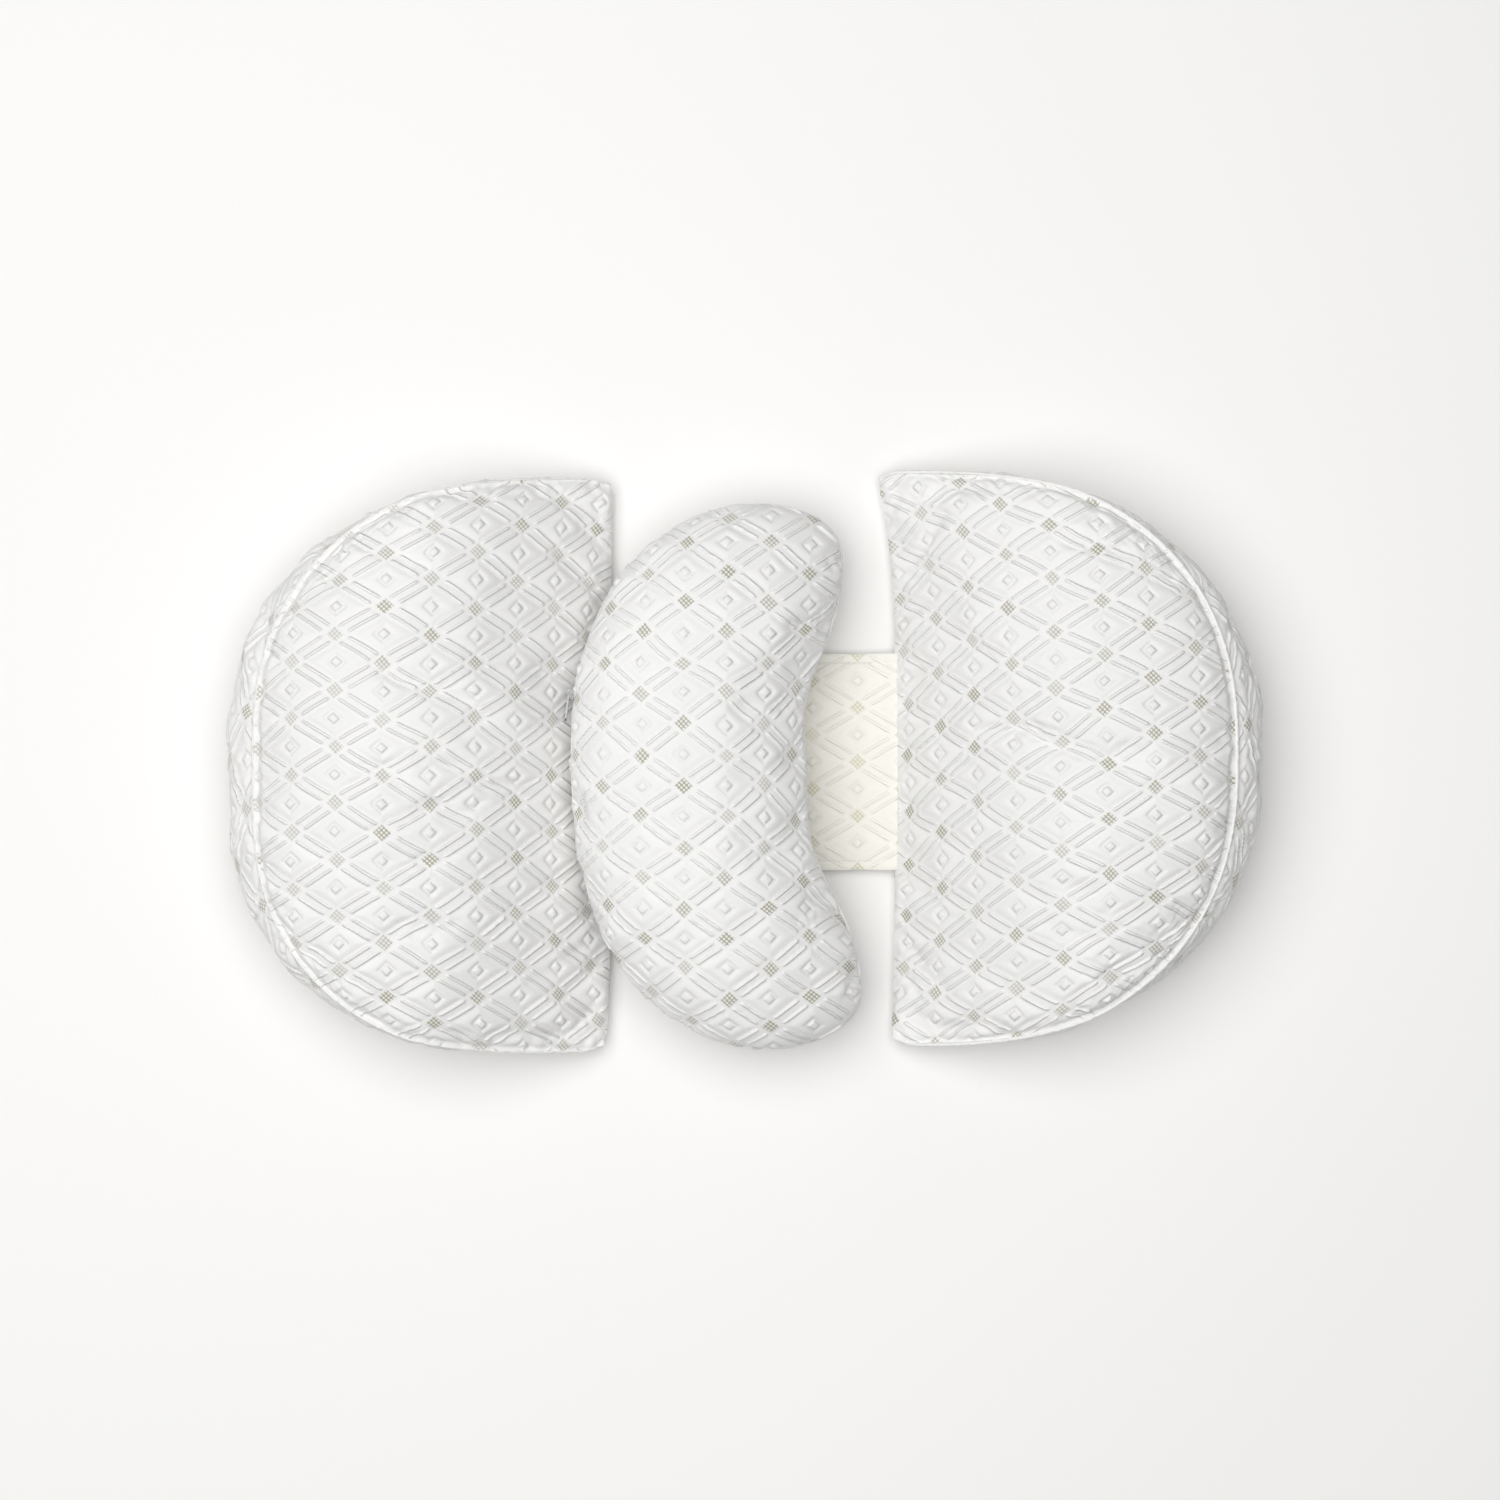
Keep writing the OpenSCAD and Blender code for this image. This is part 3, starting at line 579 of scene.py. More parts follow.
def wedge_pieces(w, name, body, lattice, material, seed, nodes, welt):
    """Makes the panels, welts and zip flap of one wedge; welt is the radius of its top seam."""
    rows, cols = COARSE_ROWS, COARSE_COLS

    def shapes(rows, cols, high):
        """Top, underside and gusset grids in the wedge's own frame, with rim distances for each."""
        plan = w.patch(top_inset, rows, cols)
        x, y = plan[..., 0], plan[..., 1]
        top = np.dstack([plan, w.top_z(x, y) - w.shoulder(x, y)])
        radius, _, out = w.ask(x, y)
        top_gap = np.maximum(0, radius - top_inset(out) - np.hypot(x - CROWN_X, y))
        low_plan = w.patch(foot_inset, rows, cols)
        x, y = low_plan[..., 0], low_plan[..., 1]
        radius, _, out = w.ask(x, y)
        low_gap = np.maximum(0, radius - foot_inset(out) - np.hypot(x - CROWN_X, y))
        rim_z = NOSE_Z - ramp(out, 0.0, 0.2) * 0.5 - 1.5 * out - w.shoulder(x, y)
        low = np.dstack([low_plan, rim_z * np.interp(low_gap, [0, 5, 14, 30], [1, 0.5, 0.15, 0])])
        top_rim, low_edge = arc_rim(top), arc_rim(low)
        out = w.ask(top_rim[:, 0], top_rim[:, 1])[2]
        lift = np.where(out > 0.5, ZIP_GAP * (1 - ramp(abs(low_edge[:, 1]), ZIP_HALF - 1, ZIP_HALF + 1)), 0)
        radial = top_rim[:, :2] - [CROWN_X, 0]
        radial /= np.linalg.norm(radial, axis=1, keepdims=True)
        full = top_rim[:, :2] + radial * top_inset(out)[:, None]
        f = np.linspace(0, 1, high)[:, None]
        z_top, z_low = top_rim[:, 2], low_edge[:, 2]
        z = z_top + (z_low + lift - z_top) * f
        depth = np.clip((z_top - z) / np.maximum(z_top - z_low, 0.5), 0, 1)
        inset = np.where(
            depth < WIDEST,
            top_inset(out) * (1 - depth / WIDEST).clip(0) ** 2,
            foot_inset(out) * ((depth - WIDEST) / (1 - WIDEST)).clip(0) ** 2,
        )
        side = np.dstack([full[None] - radial[None] * inset[..., None], z])
        return top, low, side, top_gap, low_gap, out, z_top - z_low

    top, low, side, top_gap, low_gap, out, tall = shapes(rows, cols, GUSSET_ROWS)
    hold_top = 0.05 + 0.95 * (1 - ramp(top_gap, 2, 9))
    hold_low = 0.08 + 0.92 * (1 - ramp(low_gap, 1, 6)) + 0.92 * ramp(low_gap, 18, 30)
    f = np.linspace(0, 1, GUSSET_ROWS)[:, None]
    hold_side = np.maximum(1 - ramp(np.minimum(f, 1 - f), 0.02, 0.2), 1 - ramp(tall, 20, 45)[None])
    hold_side = 0.06 + 0.94 * hold_side
    moves = inflate(name + "_sim", [top, low, side], [hold_top, hold_low.clip(0, 1), hold_side])

    def finish(part, grid, uv, gap, dip, flip, nodes, run):
        """Adds quilting, seam groove and wrinkles to one panel and makes it; gap is the way to its seams."""
        u, v = uv[..., 0], uv[..., 1]
        n = normals(grid) * (-1 if flip else 1)
        relief = lattice.height(u, v) * ramp(gap, 1.0, 6.0)
        relief = relief * (1.1 + 0.3 * ripple(u, v, seed + 20, 6, 26))
        relief = relief - dip * ramp(gap, 0.0, 2.0) * (1 - ramp(gap, 2.0, 8.0))
        relief = relief + 0.5 * ripple(u, v, seed + len(part), 6, 24) * ramp(gap, 0, 2)
        gather = ripple(run, 0 * run, seed + 7, 6, 13) * ramp(gap, 0, 3) * np.exp(-gap / 11)
        relief = relief + (1.3 if part == "pad_gusset" else 0.7) * gather
        if part == "pad_gusset":
            folds = ripple(u * 0.45, v, seed + 31, 5, 11)
            relief = relief + 0.9 * folds * ramp(gap, 0, 6)
        grid = grid + n * relief[..., None]
        grid = grid * [w.side, 1, 1]
        made = grid_object(f"{name}_{part}", grid, material, uv / UV_MM, flip=flip != (w.side < 0))
        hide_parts(*nodes)
        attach(made, body)
        return grid

    measure = fabric_lengths(w.top_z, PLAN_X, PLAN_Y, (CROWN_X, 0))
    k = FINE
    fine_rows, fine_cols = (rows - 1) * k + 1, (cols - 1) * k + 1
    fine_high = (GUSSET_ROWS - 1) * (k + 1) + 1
    top, low, side, top_gap, _, out, _ = shapes(fine_rows, fine_cols, fine_high)
    base_rim = arc_rim(low)
    u, v = warped(*measure(top[..., 0], top[..., 1]), seed)
    uv = np.dstack([w.side * u, v])
    top = top + finer(moves[0], *top.shape[:2])
    if w.side < 0:
        near_pull = np.hypot(top[..., 0] - PRESS_X, top[..., 1] - PRESS_Y)
        top[..., 2] -= PRESS * (1 - ramp(near_pull, 12, 36))
    turn = np.arctan2(top[..., 1], top[..., 0] - CROWN_X)
    groove = 2.0 * ramp(w.ask(top[..., 0], top[..., 1])[2], 0.02, 0.15)
    top_made = finish("pad_top", top, uv, top_gap, groove, False, nodes["top"], turn * RUN_RADIUS)
    kl = max(1, k - 2)
    low_rest = shapes((rows - 1) * kl + 1, (cols - 1) * kl + 1, 3)
    low, low_gap = low_rest[1], low_rest[4]
    low_rim = arc_rim(low)
    low = low + finer(moves[1], *low.shape[:2])
    low[..., 2] = np.maximum(low[..., 2], 2.6 * ramp(low_gap, 0, 9))
    nose = top_made[0] * [w.side, 1, 1]
    share = np.linspace(0, 1, low.shape[1])
    nose = np.stack([np.interp(share, np.linspace(0, 1, len(nose)), c) for c in nose.T], 1)
    low = np.concatenate([nose[None], low])
    low_gap = np.concatenate([0 * low_gap[:1], low_gap])
    uv = np.dstack(warped(w.side * low[..., 0], low[..., 1], seed + 1))
    turn = np.arctan2(low[..., 1], low[..., 0] - CROWN_X)
    finish("pad_underside", low, uv, low_gap, 1.0, True, nodes["low"], turn * RUN_RADIUS)
    side = side + finer(moves[2], *side.shape[:2])
    run = np.concatenate([[0], np.cumsum(np.linalg.norm(np.diff(side[0, :, :2], axis=0), axis=1))])
    drop = np.cumsum(np.linalg.norm(np.diff(side, axis=0), axis=2), axis=0)
    fall = np.concatenate([np.zeros((1, side.shape[1])), drop])
    uv = np.dstack(warped(np.broadcast_to(run, fall.shape), -fall, seed + 2))
    gap = np.minimum(fall, fall[-1] - fall)
    finish("pad_gusset", side, uv, gap, 1.2, True, nodes["side"], uv[..., 0])
    rim, foot = side[0], side[-1]
    away = rim[:, :2] - [CROWN_X, 0]
    away = np.c_[away / np.linalg.norm(away, axis=1, keepdims=True), 0 * rim[:, 2]]
    ends = ramp(np.linspace(0, 1, len(rim)), 0, 0.03) * ramp(np.linspace(1, 0, len(rim)), 0, 0.03)
    swell = 1 + 0.12 * ripple(np.arange(len(rim)), 0 * ends, seed, 5, 50)
    base_path = low_rim + [0, 0, 0.4]
    base_path[:, 2] = np.maximum(base_path[:, 2], 1.3)
    welts = [
        ("seam_top", rim + away * 0.2 + [0, 0, 0.2], welt * swell * (0.55 + 0.45 * ends)),
        ("seam_foot", foot + away * 0.2, 1.0 * swell * (0.6 + 0.4 * ends)),
        ("seam_base", base_path, 1.0),
    ]
    near_zip = (abs(foot[:, 1]) < ZIP_HALF + 8) & (out > 0.5)
    flap = np.stack([base_rim - away * 6 - [0, 0, 1], foot - away * 6 + [0, 0, 2]])[:, near_zip]
    flap_uv = np.dstack([np.broadcast_to(run[near_zip], flap.shape[:2]), flap[..., 2]]) / UV_MM
    made = grid_object(f"{name}_zip_flap", flap * [w.side, 1, 1], knit_welt, flap_uv, flip=w.side > 0)
    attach(made, body)
    for part, path, radius in welts:
        made = tube(f"{name}_{part}", path * [w.side, 1, 1], radius, knit_welt)
        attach(made, body)


def wedge_nodes(p):
    return {
        "top": [p + "_cover_top", p + "_lining_top", p + "_fill"],
        "low": [p + "_cover_bottom", p + "_lining_bottom"],
        "side": [p + "_gusset"],
    }


left = Wedge(-1, 93, (91, 96), (195, 199.5), (2.45, 2.7))
right = Wedge(1, 104, (90, 101), (199.5, 195), (2.45, 2.25))
wedge_pieces(left, "left", "left_wedge", LEFT_KNIT, knit_left, 3, wedge_nodes("left"), 0.6)
wedge_pieces(right, "right", "right_wedge", RIGHT_KNIT, knit_right, 11, wedge_nodes("right"), 1.15)

# ---------------------------------------------------------------- crescent

BUMP_MID, BUMP_BEND, BUMP_TURN, BUMP_SWEEP = (-38.0, -12.0), 170.0, math.radians(2.6), 69.0
BUMP_HALF_W, BUMP_HIGH, BUMP_LOW, BUMP_BASE, BUMP_DRIFT = 79.0, 50.0, 50.0, 9.5, 8.0
BUMP_CENTRE = np.array(BUMP_MID) + BUMP_BEND * np.array([math.cos(BUMP_TURN), math.sin(BUMP_TURN)])


def bump_grid(rows, cols, top):
    """One half of the crescent: rows run from tip to tip, columns from the outer to the hollow side."""
    tau = np.linspace(-1, 1, rows)
    u = np.sign(tau) * (1 - (1 - abs(tau)) ** 1.5)
    phi = np.linspace(0, math.pi, cols)[None]
    power = 2 / (2.1 if top else 2.3)
    across = np.sign(np.cos(phi)) * abs(np.cos(phi)) ** power
    taper = np.maximum(1 - abs(u) ** 3.2, 0)
    angle = u * BUMP_SWEEP
    seam_z = BUMP_BASE + BUMP_LOW * (1 - 0.45 * u**2)
    tall = BUMP_HIGH if top else seam_z - BUMP_BASE
    half_w, half_h = BUMP_HALF_W * taper**0.62, tall * taper**0.5
    rise = abs(np.sin(phi)) ** power * half_h[:, None] * (1 if top else -1)
    drift = BUMP_DRIFT * (1 - np.cos(np.radians(360 * angle / BUMP_SWEEP))) / 2
    heading = (math.pi + BUMP_TURN + np.radians(angle))[:, None]
    r = (BUMP_BEND + drift)[:, None] + half_w[:, None] * across
    x, y = BUMP_CENTRE
    grid = np.dstack([x + r * np.cos(heading), y + r * np.sin(heading), seam_z[:, None] + rise])
    step = np.linalg.norm(np.diff(grid, axis=1), axis=2)
    girth = np.concatenate([np.zeros((rows, 1)), np.cumsum(step, axis=1)], axis=1)
    crest = girth[:, -1:] / 2
    laid = (BUMP_BEND + drift)[:, None] + crest - girth
    uv = np.dstack(warped(x + laid * np.cos(heading), y + laid * np.sin(heading), 17))
    return grid, uv, np.minimum(girth, girth[:, -1:] - girth)


def crescent_pieces():
    rows, cols = 65, 33
    top, _, top_gap = bump_grid(rows, cols, True)
    low, _, low_gap = bump_grid(rows, cols, False)
    tips = 1 - ramp(1 - abs(np.linspace(-1, 1, rows)), 0.02, 0.12)[:, None]

    def hold(gap, least):
        return np.maximum(least + (1 - least) * (1 - ramp(gap, 1, 9)), tips)

    moves = inflate("crescent_sim", [top, low], [hold(top_gap, 0.05), hold(low_gap, 0.12)])
    halves = (("top", True, moves[0], FINE), ("underside", False, moves[1], FINE - 1))
    for part, is_top, move, fine in halves:
        grid, uv, gap = bump_grid((rows - 1) * fine + 1, (cols - 1) * fine + 1, is_top)
        grid = grid + finer(move, *grid.shape[:2])
        n = normals(grid) * (1 if is_top else -1)
        tip = ramp(1 - abs(np.linspace(-1, 1, grid.shape[0])), 0.0, 0.05)[:, None]
        u, v = uv[..., 0], uv[..., 1]
        relief = BUMP_KNIT.height(u, v) * ramp(gap, 1, 6) * tip
        relief = relief - 0.9 * ramp(gap, 0, 2) * (1 - ramp(gap, 2, 8)) * tip
        # The cloth lies flat and a little sunk along the zipper.
        if not is_top:
            window = ramp(gap, 0.5, 2) * (1 - ramp(gap, 14, 17)) * (grid[..., 0] < -60)
            relief = np.where(window > 0, relief * (1 - window) - 1.5 * window, relief)
        relief = relief * (1.1 + 0.3 * ripple(u, v, 25, 6, 26))
        gather = ripple(u, v, 9, 7, 11) * ramp(gap, 0, 3) * np.exp(-gap / 11)
        relief = relief + (0.5 * ripple(u, v, 5, 6, 24) + 0.5 * gather) * tip
        grid = grid + n * relief[..., None]
        obj = grid_object(f"crescent_pad_{part}", grid, knit_bump, uv / UV_MM, flip=not is_top)
        half = "top" if is_top else "bottom"
        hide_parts(f"bump_cover_{half}", f"bump_lining_{half}", *(["bump_fill"] if is_top else []))
        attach(obj, "crescent")
    grid = bump_grid((rows - 1) * FINE + 1, 3, True)[0]
    rim = np.vstack([grid[:, 0], grid[::-1, -1]])
    rim = along(rim, len(rim))
    welt = tube("crescent_seam", rim, 1.0, knit_welt)
    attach(welt, "crescent")


crescent_pieces()

# ---------------------------------------------------------------- strap

STRAP_HALF, HEM = 75.0, 7.0
CREAM = (0.875, 0.86, 0.79)
strap_look = knit_material("knit_strap", STRAP_KNIT, CREAM, (0.62, 0.58, 0.40), 0.8)
thread_look, thread_tree, thread_shader = new_material("thread")
thread_shader.inputs["Base Color"].default_value = (0.83, 0.815, 0.77, 1)
thread_shader.inputs["Roughness"].default_value = 0.7
bumped(thread_tree, thread_shader, noise(thread_tree, 1500.0, 1.0), 0.0002, 0.5)


def strap_piece(name, body, start, end, base, lift, lift_from, nodes, seed):
    """One strap half: a closed quilted band from x start to end.

    Its underside lies at height base, and rises by lift towards x = lift_from[0] over lift_from[1].
    """
    step = 1.3
    n_x = int(abs(end - start) / step)
    xs = np.linspace(start, end, n_x)
    ys = np.linspace(-STRAP_HALF, STRAP_HALF, int(2 * STRAP_HALF / step))
    gx, gy = np.meshgrid(xs, ys, indexing="ij")
    floor_z = base + lift * ramp(abs(gx - lift_from[0]), lift_from[1], 0) if lift else base + 0 * gx
    from_side = STRAP_HALF - abs(gy)
    round_off = np.sqrt(np.clip(1 - (1 - np.minimum(from_side, 1.5) / 1.5) ** 2, 0, 1))
    quilt = STRAP_KNIT.height(gx, gy) * ramp(from_side, HEM, HEM + 4) * 0.55
    stitch_line = 0.85 * (1 - ramp(abs(from_side - HEM + 0.6), 0.2, 1.3))
    hem = 0.35 * (1 - ramp(from_side, HEM - 0.6, HEM + 0.4))
    wave = 0.25 * ripple(gx, gy, seed, 5, 30)
    upper = floor_z + 1.5 + (1.35 + quilt + hem - stitch_line + wave - 0.4) * round_off
    lower = floor_z + 1.5 - 1.35 * round_off
    side = 0.35 * ripple(gx, np.sign(gy) * 40, seed + 1, 4, 40)
    top = np.dstack([gx, gy + side * (1 - ramp(from_side, 0, 30)), upper])
    low = np.dstack([gx, top[..., 1], lower])[:, ::-1]
    ring = np.concatenate([top, low], axis=1)
    uv = np.concatenate([np.dstack([gx, gy]), np.dstack([gx, gy])[:, ::-1]], axis=1)
    n_ring = ring.shape[1]
    faces = quads(n_x, n_ring, wrap=True)
    half = n_ring // 2
    caps = []
    for row, order in ((0, 1), (n_x - 1, -1)):
        first = row * n_ring
        for c in range(half - 1):
            quad = [first + c, first + c + 1, first + n_ring - 2 - c, first + n_ring - 1 - c]
            caps.append(quad[::order])
    faces = np.concatenate([faces, np.array(caps)])
    if end < start:
        faces = faces[:, ::-1]
    obj = mesh_object(name, ring, faces, strap_look, uv / UV_MM)
    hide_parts(*nodes)
    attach(obj, body)


strap_piece("strap_right_band", "right_strap", -55, 106, 6.2, 3.6, (106, 15), ["strap_right"], 21)
strap_piece("strap_left_band", "left_wedge", -96, 45, 0.6, 9.2, (-96, 16), ["strap_left"], 31)

# ---------------------------------------------------------------- stitches and zippers


def capsules(name, centres, along_dir, out_dir, length, radius, material, body, slot, sides=6):
    """Many small rounded bars, bowed outwards, such as stitches or coil loops."""
    t = np.array([-0.5, -0.42, -0.2, 0.0, 0.2, 0.42, 0.5])
    thick = np.array([0.05, 0.75, 1.0, 1.0, 1.0, 0.75, 0.05]) * radius
    bow = (0.25 - t**2) * radius * 2.4
    centres, along_dir, out_dir = (np.asarray(v, float) for v in (centres, along_dir, out_dir))
    side_dir = np.cross(along_dir, out_dir)
    a = np.linspace(0, 2 * math.pi, sides, endpoint=False)
    run, rise = (t * length)[None, :, None], bow[None, :, None]
    spine = centres[:, None] + along_dir[:, None] * run + out_dir[:, None] * rise
    cos_a, sin_a = np.cos(a)[None, None, :, None], np.sin(a)[None, None, :, None]
    ring = out_dir[:, None, None] * cos_a + side_dir[:, None, None] * sin_a
    verts = spine[:, :, None] + ring * thick[None, :, None, None]
    one = quads(len(t), sides, wrap=True)
    faces = (one[None] + (np.arange(len(centres)) * len(t) * sides)[:, None, None]).reshape(-1, 4)
    obj = mesh_object(name, verts, faces, material)
    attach(obj, body)
    return obj


def seam_stitches(name, path, up, body, slot, pitch=3.3):
    """A row of thread stitches along a path."""
    path = np.asarray(path, float)
    length = np.linalg.norm(np.diff(path, axis=0), axis=1).sum()
    points = along(path, int(length / pitch))
    direction = np.gradient(points, axis=0)
    direction /= np.linalg.norm(direction, axis=1, keepdims=True)
    up = np.broadcast_to(np.asarray(up, float), points.shape)
    capsules(name, points, direction, up, pitch * 0.74, 0.32, thread_look, body, slot)


# Hem stitching of each strap half: body, first and last x, height.
HEMS = {"strap_right": ("right_strap", -50.0, 88.0, 9.35), "strap_left": ("left_wedge", -78.0, 42.0, 3.75)}
for side, name in ((1, "back"), (-1, "front")):
    y = side * (STRAP_HALF - HEM + 0.6)
    for half, (body, first, last, z) in HEMS.items():
        xs = np.arange(first, last, 2.0)
        path = np.stack([xs, 0 * xs + y, 0 * xs + z], 1)
        seam_stitches(f"{half}_hem_{name}", path, (0, 0, 1), body, "strap_knit")


def tape_material():
    """White twill in diagonal ribs."""
    material, tree, shader = new_material("zip_tape_weave")
    uv = tree.nodes.new("ShaderNodeUVMap")
    uv.uv_map = "cloth"
    split = tree.nodes.new("ShaderNodeSeparateXYZ")
    tree.links.new(uv.outputs["UV"], split.inputs[0])
    x, y = Sock(tree, split.outputs[0]) * UV_MM, Sock(tree, split.outputs[1]) * UV_MM
    twill = sine((x + abs(y)) * (2 * math.pi / 1.0)) * 0.5 + 0.5
    tree.links.new(mixed(tree, twill, (0.79, 0.785, 0.76), (0.70, 0.69, 0.66)), shader.inputs["Base Color"])
    bumped(tree, shader, twill + noise(tree, 1200.0), 0.0002, 0.7)
    shader.inputs["Roughness"].default_value = 0.8
    return material


def coil_material():
    """Off-white nylon of the coil loops."""
    material, tree, shader = new_material("zip_nylon")
    tint = noise(tree, 400.0)
    tree.links.new(mixed(tree, tint, (0.82, 0.81, 0.78), (0.72, 0.71, 0.68)), shader.inputs["Base Color"])
    tree.links.new((tint * 0.2 + 0.28).out, shader.inputs["Roughness"])
    bumped(tree, shader, noise(tree, 2500.0), 0.00008, 0.6)
    return material


def metal_material():
    """Dark worn nickel of the sliders and pulls."""
    material, tree, shader = new_material("zip_nickel")
    wear = noise(tree, 350.0, 5.0)
    nickel = mixed(tree, soft(wear, 0.35, 0.65), (0.13, 0.13, 0.135), (0.30, 0.30, 0.31))
    tree.links.new(nickel, shader.inputs["Base Color"])
    tree.links.new((wear * 0.3 + 0.22).out, shader.inputs["Roughness"])
    shader.inputs["Metallic"].default_value = 1.0
    bumped(tree, shader, noise(tree, 1800.0), 0.00005, 0.6)
    return material


tape_look, coil_look, metal_look = tape_material(), coil_material(), metal_material()


def corners(node):
    """Vertices of a CAD node in millimetres."""
    return np.array([v.co for v in frame["nodes"][node].data.vertices]) / MM


def headings(points, centre, middle):
    """Bearings in degrees of points seen from centre, all within half a turn of middle."""
    turn = np.degrees(np.arctan2(points[:, 1] - centre[1], points[:, 0] - centre[0]))
    return middle + (turn - middle + 180) % 360 - 180


def zip_arc(prefix, joint, outward):
    """Centre, outer radius, height, end bearings and slider bearing of one zipper, as the CAD has it."""
    pivot = next(np.array(j["pos_m"]) / MM for j in frame["joints"] if j["name"] == joint)
    tape = corners(f"{prefix}_zip_tape")
    radius = np.hypot(*(tape - pivot)[:, :2].T).max()
    ends = headings(tape, pivot, outward)
    slider = headings(corners(f"{prefix}_zip_slider"), pivot, outward)
    return pivot[:2], radius, pivot[2], ends.min(), ends.max(), (slider.min() + slider.max()) / 2


# Each half tape starts beside the coil, shows for 5.6 mm, and has a sewn margin turned into the cushion.
TAPE_FROM, TAPE_SHOWN, TAPE_TURNED = 0.25, 5.6, 4.9
TAPE_THICK, COIL_PITCH = 0.7, 1.35


def zipper(prefix, body, centre, radius, z, start, end, slider_at):
    """Two half tapes with stitches, and the coil loops that lie clear of the slider."""
    span = math.radians(end - start)
    count = max(8, int(radius * span / (1.2)))
    heading = np.radians(start) + np.linspace(0, span, count)
    out = np.stack([np.cos(heading), np.sin(heading), 0 * heading], 1)
    base = np.array([centre[0], centre[1], z])
    for half, s in (("upper", 1), ("lower", -1)):
        shown = [(a, 0.12 * math.sin(a * 1.9)) for a in np.linspace(TAPE_FROM, TAPE_FROM + TAPE_SHOWN, 8)]
        turned = (-0.4, -1.9, -3.4, -TAPE_TURNED)
        face = shown + [(6.1, d) for d in turned]
        back = [(min(a, 5.4), d - TAPE_THICK) for a, d in shown] + [(5.4, min(d, -0.9)) for d in turned]
        ring = [(s * a, d) for a, d in face + back[::-1]]
        verts = np.stack([base + out * (radius + d) + [0, 0, h] for h, d in ring], 1)
        u = np.broadcast_to((heading * radius)[:, None], verts.shape[:2])
        v = np.broadcast_to(np.array([h for h, _ in ring])[None], verts.shape[:2])
        faces = quads(count, len(ring), wrap=True)
        n = len(ring)
        caps = [[c, c + 1, n - 2 - c, n - 1 - c] for c in range(n // 2 - 1)]
        caps += [[(count - 1) * n + k for k in quad[::-1]] for quad in caps]
        faces = np.concatenate([faces, np.array(caps)])
        faces = faces if s < 0 else faces[:, ::-1]
        tape = mesh_object(f"{prefix}_tape_{half}", verts, faces, tape_look, np.dstack([u, v]) / UV_MM)
        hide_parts(f"{prefix}_zip_tape")
        flat = ((TAPE_SHOWN + TAPE_TURNED) * MM, radius * span * MM)
        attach(tape, body)
        edge = base + out * (radius + 0.25) + [0, 0, s * 4.6]
        seam_stitches(f"{prefix}_tape_stitch_{half}", edge, out[:1], body, "zip_tape", 2.8)
    loops = int(radius * span / COIL_PITCH) - 4
    heading = np.radians(start) + span * (np.arange(loops) + 2.5) / (loops + 4)
    out = np.stack([np.cos(heading), np.sin(heading), 0 * heading], 1)
    run = np.stack([-np.sin(heading), np.cos(heading), 0 * heading], 1)
    lean = np.where(np.arange(loops) % 2, 1, -1)[:, None] * 0.22
    bar = np.array([0, 0, 1.0]) + run * lean
    bar /= np.linalg.norm(bar, axis=1, keepdims=True)
    beyond = abs(np.degrees(heading) - slider_at) > math.degrees(6.5 / radius)
    centres = base + out * (radius + 0.75) + np.array([0, 0, 1.0]) * lean * 1.6
    bars = (centres[beyond], bar[beyond], out[beyond])
    coil = capsules(f"{prefix}_coil_loops", *bars, 3.0, 0.62, coil_look, body, "zip_coil")
    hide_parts(f"{prefix}_zip_coil")


for prefix, body, joint, outward in (
    ("left", "left_wedge", "left_zip_slide", 180),
    ("right", "right_wedge", "right_zip_slide", 0),
    ("bump", "crescent", "crescent_zip_slide", 180),
):
    zipper(prefix, body, *zip_arc(prefix, joint, outward))
    for part in ("slider", "pull"):
        node = frame["nodes"][f"{prefix}_zip_{part}"]
        node.data.materials.clear()
        node.data.materials.append(metal_look)
        bevel = node.modifiers.new("edge", "BEVEL")
        bevel.width, bevel.segments, bevel.limit_method = 0.25 * MM, 2, "ANGLE"

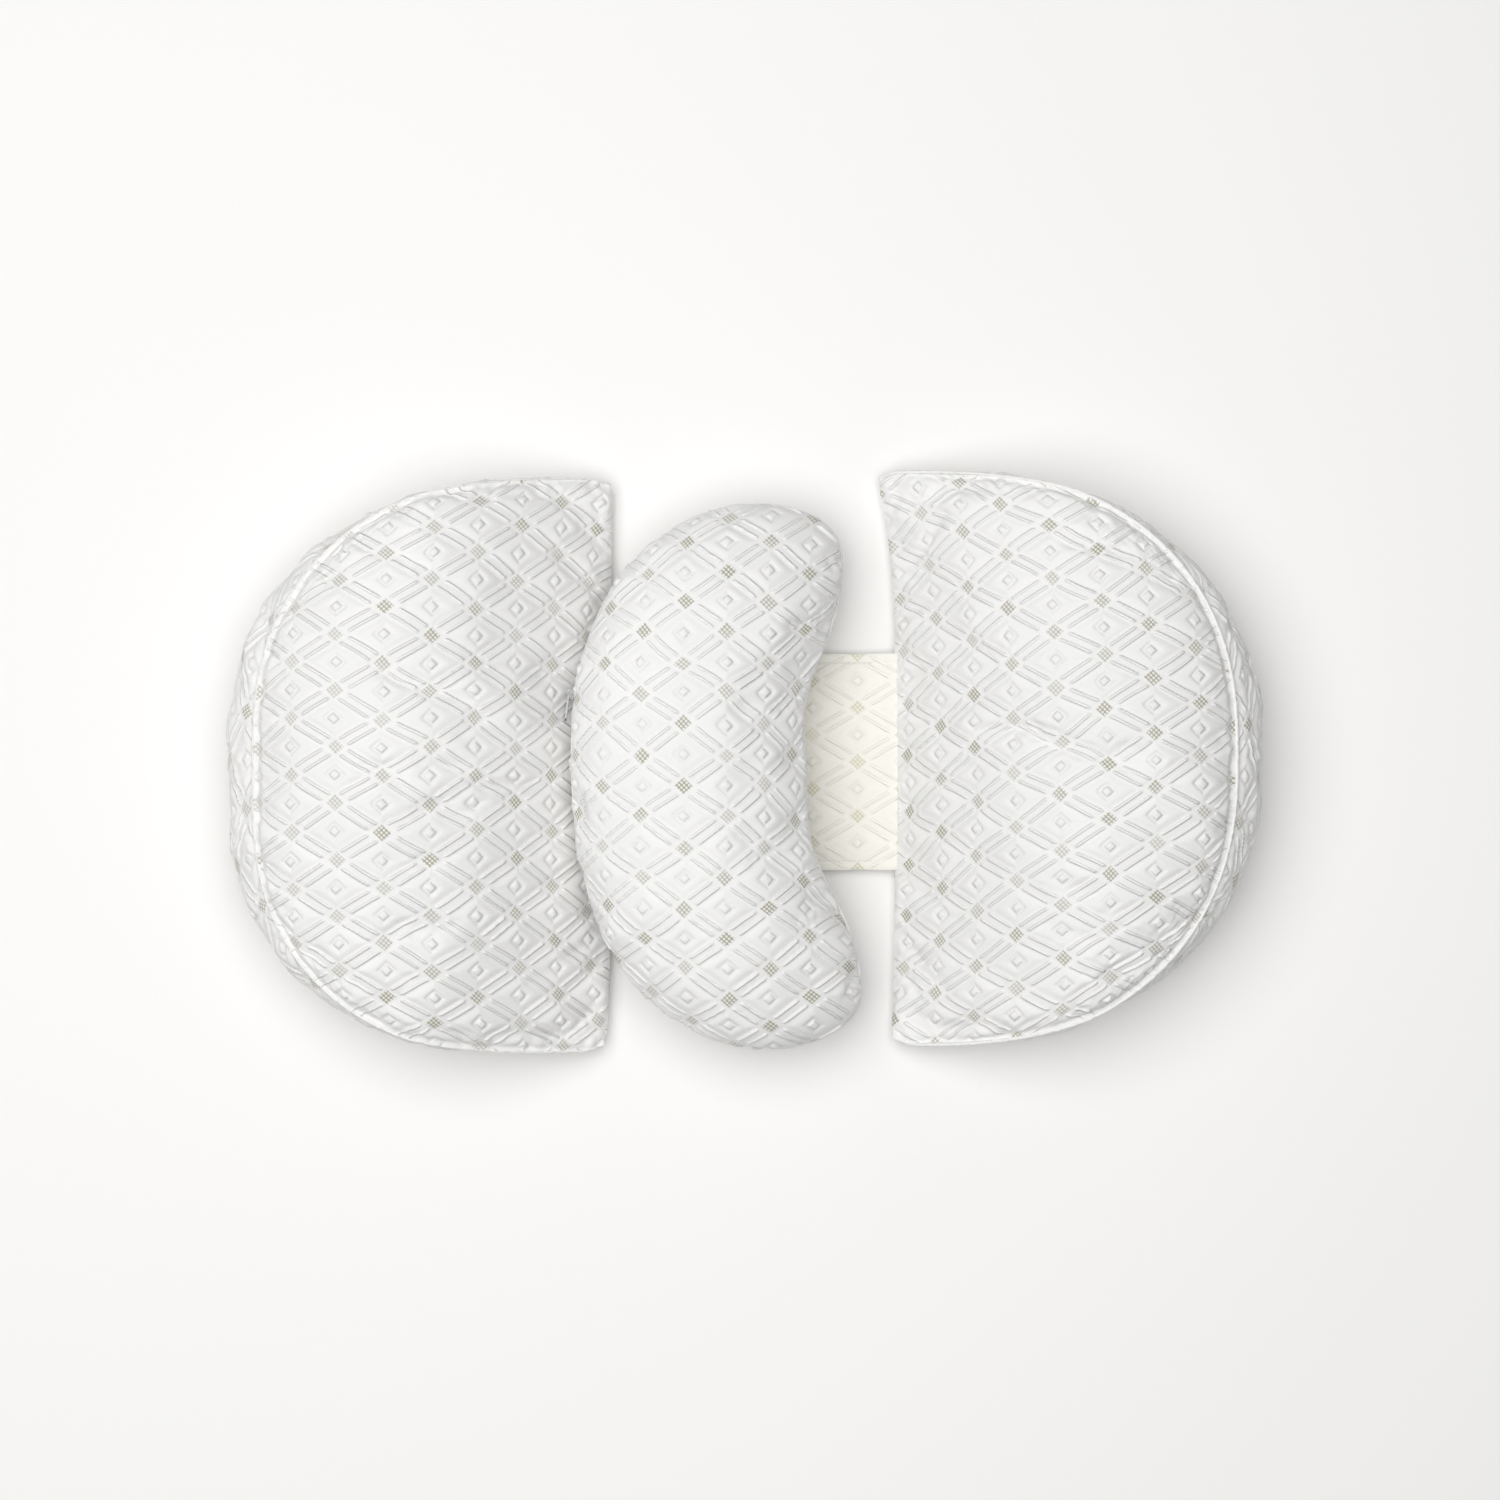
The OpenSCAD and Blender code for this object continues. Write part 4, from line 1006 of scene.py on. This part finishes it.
# Hook-and-loop patches: CAD node, colour and depth of the pile in metres.
PATCHES = (("strap_loop_patch", (0.80, 0.79, 0.75), 0.0006), ("strap_hook_patch", (0.72, 0.71, 0.68), 0.0004))
for name, colour, depth in PATCHES:
    look, tree, shader = new_material(name + "_pile")
    pile = noise(tree, 1400.0, 4.0)
    tree.links.new(mixed(tree, pile, colour, tuple(c * 0.8 for c in colour)), shader.inputs["Base Color"])
    shader.inputs["Roughness"].default_value = 0.9
    bumped(tree, shader, pile, depth, 1.0)
    frame["nodes"][name].data.materials.clear()
    frame["nodes"][name].data.materials.append(look)

# ---------------------------------------------------------------- stage, light, camera


floor_look, _, floor_shader = new_material("floor")
floor_shader.inputs["Base Color"].default_value = (0.90, 0.892, 0.878, 1)
floor_shader.inputs["Roughness"].default_value = 0.9
bpy.ops.mesh.primitive_plane_add(size=14, location=(0, 0, -0.0006))
floor = bpy.context.object
floor.name = "floor"
floor.data.materials.append(floor_look)


# One round soft lamp, nearly overhead and a little to the left, aimed at the middle of the object.
LAMP_PLACE, LAMP_SIZE, LAMP_POWER = Vector((-0.45, 0.2, 2.7)), 3.6, 94
key_data = bpy.data.lights.new("key", "AREA")
key_data.shape, key_data.size, key_data.energy = "DISK", LAMP_SIZE, LAMP_POWER
key = bpy.data.objects.new("key", key_data)
bpy.context.collection.objects.link(key)
key.location = LAMP_PLACE
key.rotation_euler = (-LAMP_PLACE).to_track_quat("-Z", "Y").to_euler()

SKY_COLOUR, SKY_STRENGTH = (0.98, 0.99, 1.0, 1), 0.18
world = bpy.data.worlds.new("studio")
world.use_nodes = True
world.node_tree.nodes["Background"].inputs["Color"].default_value = SKY_COLOUR
world.node_tree.nodes["Background"].inputs["Strength"].default_value = SKY_STRENGTH
scene = bpy.context.scene
scene.world = world
scene.view_settings.view_transform = "Standard"

# The photo looks straight down, as an 85 mm lens does from about two and a half metres.
CAMERA_PLACE, FOCAL_MM, SENSOR_MM = (0.0034, 0.0082, 2.464), 85, 36
lens = bpy.data.cameras.new("camera")
lens.lens, lens.sensor_width = FOCAL_MM, SENSOR_MM
camera = bpy.data.objects.new("camera", lens)
bpy.context.collection.objects.link(camera)
camera.location = CAMERA_PLACE
camera.rotation_euler = (0, 0, 0)
scene.camera = camera
